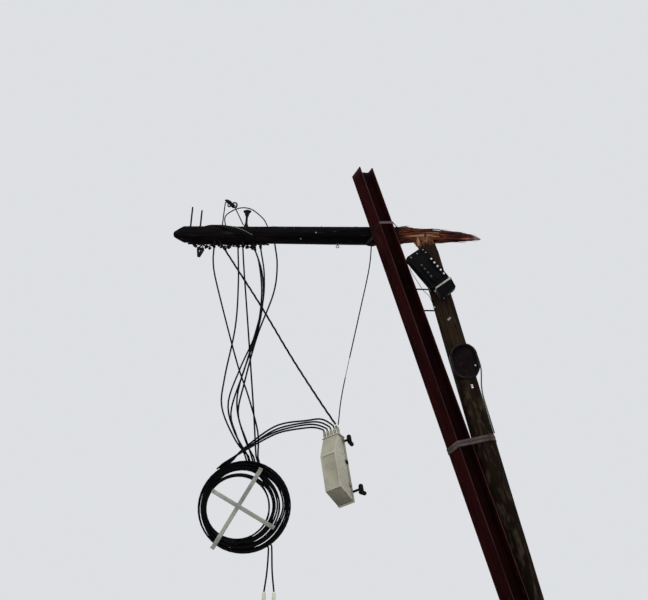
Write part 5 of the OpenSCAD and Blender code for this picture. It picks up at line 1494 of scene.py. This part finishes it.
    eye, bar = splice["eye"], splice["eyeBar"] / 2
    high = splice["hangerLong"] - eye
    bm = turned([(0, 0), (0.012, 0), (0.012, 0.0048), (0.011, 0.006), (bar, 0.006), (bar, high), (0, high)],
                24)
    addTo(bm, hexNut(0.013, 0.006), shift(0, 0, 0.0058))
    addTo(bm, ringShape(eye, 2 * bar, 36, 12), shift(0, 0, splice["hangerLong"]) @ turn(x=90))
    keep("spliceHanger", bm, darkIron, "splice_hanger",
         inSplice @ shift(*splice["hanger"], foot + gap))


makeSplice()
print("splice box ready")

# the coil's cross and what hangs the splice box
cross = {"short": (-30.5, 0.216, 0.306), "long": (60, 0.350, 0.318), "wide": 0.032, "thick": 0.005,
         "lip": 0.014}
hangers = {"cable": 0.018, "rope": 0.011, "bare": (0.66, 0.76)}


def makeCross():
    bm = bmesh.new()
    t, lip, wide = cross["thick"], cross["lip"], cross["wide"]
    for (angle, left, right), high in ((cross["short"], t / 2), (cross["long"], 0)):
        outline = [(-left, 0), (right, 0), (right + lip, lip), (right + lip - t, lip + t / 2),
                   (right - t / 2, t), (-left + t / 2, t), (-left - lip + t, lip + t / 2), (-left - lip, lip)]
        addTo(bm, sheetCut(outline, wide, 0.0012), turn(z=angle) @ shift(0, wide / 2, high))
    addTo(bm, peg(0.024, 0.001, 0.011, 32, (0.0015, 0.0015)))
    addTo(bm, hexNut(0.019, 0.007), shift(0, 0, 0.0105) @ turn(z=12))
    keep("coilCross", bm, greenSteel, "coil_cross",
         shift(coilMid - Vector((0.045, coil["thick"] / 2 + gap, 0.002))) @ turn(x=90))


# Three strands laid round each other, together as wide as given
def twisted(name, points, wide, pitch, node, look=blackSheath):
    line = smoothLine(points, max(12, int(lineLength(points) / pitch * 7)))
    cable(name, strandsAlong(line, wide * 0.268, pitch), wide * 0.464, node, look, sides=2)


def makeHangers():
    points = [logFace(-1.420, 150, -0.010)]
    points += hung([[-2765, 400, 5262], [-2655, 374, 5075], [-2445, 370, 4730], [-2195, 375, 4295],
                    [-1990, 385, 3965]])
    points.append(hangerEye + Vector((-0.008, 0, splice["eye"] + 0.0103)))
    twisted("suspensionCable", points, hangers["cable"], 0.21, "suspension_cable")
    points = [logFace(-0.102, 150, -0.010)] + hung([[-1560, 330, 5055], [-1650, 345, 4635],
                                                    [-1785, 375, 4015]])
    points.append(hangerEye + Vector((0.012, 0, splice["eye"] + 0.0073)))
    line = smoothLine(points, 200)
    first, last = (int(share * 200) for share in hangers["bare"])
    for name, part, wide, look in (("hangerRopeUpper", line[:first], hangers["rope"], ropeFibre),
                                   ("hangerRopeBare", line[first - 2:last + 2], 0.0062, greyStrand),
                                   ("hangerRopeLower", line[last:], hangers["rope"] * 0.9, ropeFibre)):
        twisted(name, part, wide, 0.055, "hanger_rope", look)


makeCross()
makeHangers()
print("cross and hangers ready")

# on and under the pole's head
head = {"pin": 0.014, "pinLong": 0.190, "pins": (-1.674, -1.588), "tilt": -4, "bolt": -1.188,
        "boltLong": 0.160, "boltWide": 0.070, "grip": 0.034, "strand": 0.008, "clamp": -1.560, "hook": 0.028,
        "hookWide": 0.026}
trunk = {"wide": 0.013, "count": 3, "apart": 0.032, "strand": 0.082, "under": 0.014, "underAngle": 222,
         "lay": [(-1.620, -45), (-1.580, -28), (-1.540, -12), (-1.497, 5), (-1.456, 22), (-1.413, 37),
                 (-1.370, 52), (-1.325, 68), (-1.280, 84), (-1.235, 101), (-1.190, 118), (-1.150, 134),
                 (-1.112, 150), (-1.078, 164), (-1.048, 178), (-1.036, 189), (-1.028, 200), (-1.020, 214)],
         "off": 0.0012}
crowd = {"clamps": 21, "from": -1.640, "apart": 0.0275, "lows": (0.012, 0.020, 0.034, 0.046), "loops": 7,
         "ties": 11}


def onCrown(s):
    return onLog(s) @ turn(x=-90) @ turn(y=head["tilt"])


def makePins():
    bm = bmesh.new()
    r = head["pin"] / 2
    for s, share in zip(head["pins"], (1, 0.84)):
        start, top = logRadius(s) - 0.012, logRadius(s) + head["pinLong"] * share
        profile = [(0, start), (r + 0.006, start), (r + 0.006, start + 0.016), (r + 0.004, start + 0.018),
                   (r, start + 0.018), (r, top - 0.040)]
        profile += [(r - 0.0006 * (k % 2), top - 0.038 + 0.0015 * k) for k in range(22)]
        profile += [(r - 0.001, top - 0.002), (r * 0.6, top), (0, top)]
        addTo(bm, turned(profile, 20), onCrown(s))
    keep("headPins", bm, darkIron, "head_pins", sharp=50)


def makeBolt():
    s = head["bolt"]
    top, foot, wide = logRadius(s) + head["boltLong"], logRadius(s) + 0.010, head["boltWide"] / 2
    profile = [(0, foot - 0.030), (0.021, foot - 0.030), (0.020, foot), (0.015, foot + 0.012),
               (0.011, foot + 0.026), (0.0102, foot + 0.050), (0.010, top - 0.064), (0.0145, top - 0.056),
               (wide * 0.62, top - 0.030), (wide - 0.001, top - 0.018), (wide, top - 0.012),
               (wide - 0.001, top - 0.006), (wide * 0.7, top - 0.001), (wide * 0.45, top - 0.002),
               (0.010, top - 0.003), (0.007, top), (0, top)]
    bm = turned(profile, 40)
    for v in bm.verts:
        if v.co.z > top - 0.050 and hypot(v.co.x, v.co.y) > 0.016:
            v.co.x *= 0.42  # a roof-shaped bracket rather than a full cap
    keep("headBolt", bm, darkIron, "head_bolt", onCrown(s), sharp=40)


def makeDeadEnd():
    a, b = logOver(-1.398, 0.342), logOver(-1.330, 0.302)
    steps = 30
    line = [a.lerp(b, k / steps) for k in range(steps + 1)]
    reach = head["grip"] / 2
    sizes = [reach * min(1.0, 0.32 + 2.4 * (k / steps), 0.36 + 2.1 * (1 - k / steps))
             for k in range(steps + 1)]
    frames = [f @ turn(z=11 * k) for k, f in enumerate(framesAlong(line, scales=sizes))]
    lobes = [((0.90 + 0.10 * abs(cos(4 * t))) * cos(t), (0.90 + 0.10 * abs(cos(4 * t))) * sin(t))
             for t in (tau * k / 64 for k in range(64))]
    bm = sweep(lobes, frames)
    yaw = turn(z=-log["yaw"])
    addTo(bm, ringShape(0.024, 0.013, 36, 12), shift(logOver(-1.312, 0.291)) @ yaw @ turn(x=90))
    addTo(bm, peg(0.006, -0.013, 0.013, 16), shift(logOver(-1.294, 0.276)) @ yaw @ turn(x=90))
    lean = shift(logOver(-1.330, 0.291)) @ yaw @ turn(y=38)
    addTo(bm, block((0.046, 0.022, 0.030), round=0.005, steps=3), lean)
    addTo(bm, ringShape(0.015, 0.011, 28, 10), lean @ shift(-0.020, 0, -0.014) @ turn(x=90))
    for side in (-1, 1):
        addTo(bm, hexNut(0.015, 0.007), lean @ shift(0.004, side * 0.0105, 0.002) @ turn(x=-90 * side))
    keep("deadEndGrip", bm, darkIron, "dead_end_clamp", sharp=50)
    for number, (start, end) in enumerate((
            (logOver(-1.394, 0.317), logOver(-1.398, logRadius(-1.398) + 0.001)),
            (logOver(-1.3002, 0.2622), logOver(head["bolt"] - 0.026, logRadius(head["bolt"]) + 0.022)))):
        twisted(f"clampStrand{number + 1}", [start, start.lerp(end, 0.5), end], head["strand"] + 0.003, 0.07,
                "clamp_strands")


def makeHangingClamp():
    s = head["clamp"]
    r = logRadius(s)
    bm = peg(0.006, r - 0.012, r + 0.040, 18, (0.001, 0.006))
    bm.transform(turn(x=90))
    addTo(bm, peg(0.014, 0, 0.0045, 20, (0.002, 0.0015)), shift(0, -r - gap, 0) @ turn(x=90))
    addTo(bm, ringShape(0.015, 0.009, 32, 12), shift(0, -r - 0.050, 0) @ turn(y=90))
    wedge = sheetCut([(-0.026, 0.006), (0.028, 0.006), (0.033, -0.013), (-0.029, -0.013)], 0.026, 0.002, 3)
    for outline in ([(-0.029, -0.012), (-0.013, -0.012), (0.006, -0.060), (-0.009, -0.078)],
                    [(0.017, -0.012), (0.033, -0.012), (0.014, -0.078), (0.001, -0.060)],
                    [(-0.010, -0.056), (0.015, -0.056), (0.014, -0.080), (-0.009, -0.080)]):
        addTo(wedge, sheetCut(outline, 0.022, 0.002, 3), shift(0, -0.002, 0))
    addTo(wedge, peg(0.005, -0.062, -0.008, 12), shift(0.002, -0.013, 0))
    for x, z in ((-0.018, -0.004), (0.020, -0.004), (0.002, -0.068)):
        addTo(wedge, hexNut(0.012, 0.005), shift(x, -0.025, z) @ turn(x=90))
    wedge.transform(shift(0, 0.013, 0))
    addTo(bm, wedge, shift(0, -r - 0.062, 0) @ turn(y=90) @ turn(x=-90) @ turn(y=-7))
    keep("hangingClamp", bm, darkIron, "cable_clamp", onLog(s))


def makeHooks():
    bm = bmesh.new()
    low, wide, tall = cord["drop"] / 2 + 0.003, head["hookWide"] / 2, head["hook"]
    for number, (start, upward) in enumerate(dropTops):
        s = (start.x - logMid.x) / logDir.x
        grip = [(0, 0), (low, 0)]
        for k in range(5):
            z = tall * (0.08 + 0.17 * k)
            r = low + (wide - low) * z / tall
            grip += [(r, z), (r + 0.0009, z + tall * 0.05), (r, z + tall * 0.10)]
        grip += [(wide, tall - 0.002), (wide - 0.002, tall), (0, tall)]
        addTo(bm, turned(grip, 22), facing(upward, start + upward * gap))
        top = logAt(s).z - logRadius(s) + (0.004 if number not in (3, 4) else -0.012)
        foot = start + upward * tall / 2
        addTo(bm, peg(0.006, 0, top - foot.z, 14), shift(foot))
        addTo(bm, ringShape(0.0095, 0.0055, 20, 8), shift(foot.x, foot.y, foot.z + tall * 0.75)
              @ turn(z=between(-40, 40)) @ turn(x=90))
    # the small clamps, ties and loops of wire crowded under the head
    for k in range(crowd["clamps"]):
        s = crowd["from"] + crowd["apart"] * k + between(-0.009, 0.009)
        low = chance.choice(crowd["lows"])
        spot = logFace(s, between(172, 214), low)
        place = shift(spot) @ turn(between(-30, 30), between(-30, 30), between(-40, 40))
        addTo(bm, block((between(0.018, 0.034), 0.016, between(0.014, 0.026)), round=0.0025), place)
        addTo(bm, hexNut(0.010, 0.008), place @ shift(0.004, -0.007, 0) @ turn(x=90))
        addTo(bm, peg(0.0035, 0, low + 0.004, 10), shift(spot))
    for k in range(crowd["loops"]):
        s = crowd["from"] + 0.030 + 0.085 * k + between(-0.015, 0.015)
        reach = between(0.014, 0.024)
        addTo(bm, ringShape(reach, 0.0055, 28, 8), shift(logFace(s, 184, reach * 0.75))
              @ turn(z=between(-50, 50)) @ turn(x=90))
    for k in range(crowd["ties"]):
        s = crowd["from"] + 0.010 + 0.045 * k + between(-0.02, 0.02)
        sag, reach = between(0.012, 0.046), between(0.08, 0.15)
        line = smoothLine([logFace(s, 176, 0.002), logFace(s + reach * 0.4, 182, sag),
                           logFace(s + reach * 0.75, 190, sag * 0.8), logFace(s + reach, 200, 0.002)], 18)
        addTo(bm, sweep(roundLine(0.0042, 8), framesAlong(line)))
    keep("cableHooks", bm, darkIron, "cable_hooks")


def makeTrunk():
    table = smoothLine([Vector((s * 100, a / 5, 0)) for s, a in trunk["lay"]], 64)
    off = trunk["wide"] / 2 + trunk["off"]
    for number in range(trunk["count"]):
        away = (number - (trunk["count"] - 1) / 2) * trunk["apart"]
        line = [logFace(p.x / 100 + away, p.y * 5, off) for p in table]
        cable(f"trunkCable{number + 1}", [line], trunk["wide"], "head_lashing")
        top, upward = dropTops[(3, 4, 6)[number]]
        line = smoothLine([logFace(-1.190 + away, 118, off), logFace(-1.150 + away, 134, off),
                           logFace(-1.122 + away * 0.7, 154, off + 0.010), top + upward * 0.034,
                           top + upward * 0.010], 24)
        cable(f"trunkEnd{number + 1}", [line], trunk["wide"])
    line = [logFace(p.x / 100 + trunk["strand"], p.y * 5, 0.0046) for p in table
            if trunk["lay"][5][0] * 100 <= p.x <= trunk["lay"][10][0] * 100]
    twisted("crownStrand", line, head["strand"], 0.05, "crown_strand", greyStrand)
    for number, side in enumerate((-1, 1)):
        line = [logFace(-1.690 + 0.564 * k / 20, trunk["underAngle"] + 12 * side, trunk["under"] / 2 + gap)
                for k in range(21)]
        cable(f"underCable{number + 1}", [line], trunk["under"], "under_cables")


# Small things in the wood: nails and staples in the log, an eye bolt under it, and a plain tag on the pole
small = {"nails": [(-0.700, 140), (-0.570, 98)], "staples": [(-0.830, 62), (-0.760, 68), (-0.530, 44)],
         "eye": -0.390, "ring": 0.012, "tag": 4.458}


def outOfLog(s, angle, off):
    return facing(logFace(s, angle, 1) - logAt(s), logFace(s, angle, off))


def makeSmallThings():
    bm = bmesh.new()
    for s, angle in small["nails"]:
        addTo(bm, turned([(0, -0.006), (0.0055, -0.006), (0.0055, 0.0012), (0.0045, 0.002), (0, 0.0022)], 18),
              outOfLog(s, angle, 0))
    tag = onPole(small["tag"]) @ turn(z=-5) @ shift(0, -poleRadius(small["tag"]), 0) @ turn(y=-36)
    addTo(bm, block((0.036, 0.003, 0.015), round=0.0012, tall=("y", 0.004)), tag)
    for x in (-0.012, 0.012):
        addTo(bm, turned([(0, 0), (0.0035, 0), (0.003, 0.0016), (0, 0.002)], 14),
              tag @ shift(x, -0.0014, 0) @ turn(x=90))
    keep("nailsAndTag", bm, dullZinc)

    bm = bmesh.new()
    for s, angle in small["staples"]:
        addTo(bm, ringShape(0.008, 0.0045, 20, 8), outOfLog(s, angle, 0.001) @ turn(y=90))
    place = onLog(small["eye"]) @ shift(0, -logRadius(small["eye"]), 0) @ turn(x=90)
    r = small["ring"]
    addTo(bm, turned([(0, -0.012), (0.011, -0.012), (0.011, 0.002), (0.0045, 0.003), (0.0045, 0.017),
                      (0, 0.017)], 18), place)
    addTo(bm, ringShape(r, 0.0065, 28, 10), place @ shift(0, 0, 0.015 + r) @ turn(y=90))
    keep("staplesAndEye", bm, ironGrey, sharp=50)


makePins()
makeSmallThings()
makeBolt()
makeDeadEnd()
makeHangingClamp()
makeHooks()
makeTrunk()
print("head fittings ready")

# stage
stageLook = {"floor": (214, 214, 214), "sky": (222, 224, 228), "ambient": 0.62, "size": 40,
             "aim": (-1.6, 0.2, 3.6)}
lamps = [("overcast", (-3.5, -3.0, 9.5), 6.0, 330), ("fill", (3.5, -6.5, 4.5), 4.0, 150),
         ("rear", (-2.0, 6.5, 7.0), 5.0, 160)]


def makeStage():
    bm = bmesh.new()
    bmesh.ops.create_grid(bm, x_segments=1, y_segments=1, size=stageLook["size"])
    mesh = bpy.data.meshes.new("floor")
    bm.to_mesh(mesh)
    bm.free()
    floor = bpy.data.objects.new("floor", mesh)
    scene.collection.objects.link(floor)
    paint = bpy.data.materials.new("floorPaint")
    paint.use_nodes = True
    shader = paint.node_tree.nodes["Principled BSDF"]
    shader.inputs["Base Color"].default_value = linear(stageLook["floor"])
    shader.inputs["Roughness"].default_value = 0.9
    mesh.materials.append(paint)

    world = bpy.data.worlds.new("studio")
    scene.world = world
    world.use_nodes = True
    tree = world.node_tree
    soft = tree.nodes["Background"]
    soft.inputs["Color"].default_value = (1, 1, 1, 1)
    soft.inputs["Strength"].default_value = stageLook["ambient"]
    seen = nodeIn(tree, "ShaderNodeBackground", {"Color": linear(stageLook["sky"]), "Strength": 1.0})
    rays = nodeIn(tree, "ShaderNodeLightPath")
    direct = nodeIn(tree, "ShaderNodeMath", operation="MAXIMUM")
    tree.links.new(rays.outputs["Is Camera Ray"], direct.inputs[0])
    tree.links.new(rays.outputs["Is Glossy Ray"], direct.inputs[1])
    mix = nodeIn(tree, "ShaderNodeMixShader")
    tree.links.new(direct.outputs[0], mix.inputs["Fac"])
    tree.links.new(soft.outputs[0], mix.inputs[1])
    tree.links.new(seen.outputs[0], mix.inputs[2])
    tree.links.new(mix.outputs[0], tree.nodes["World Output"].inputs["Surface"])

    for name, place, size, power in lamps:
        lamp = bpy.data.lights.new(name, "AREA")
        lamp.size, lamp.energy = size, power
        holder = bpy.data.objects.new(name, lamp)
        holder.location = place
        aim = Vector(stageLook["aim"]) - Vector(place)
        holder.rotation_euler = aim.to_track_quat("-Z", "Y").to_euler()
        scene.collection.objects.link(holder)


makeStage()
scene.view_settings.view_transform = "Standard"
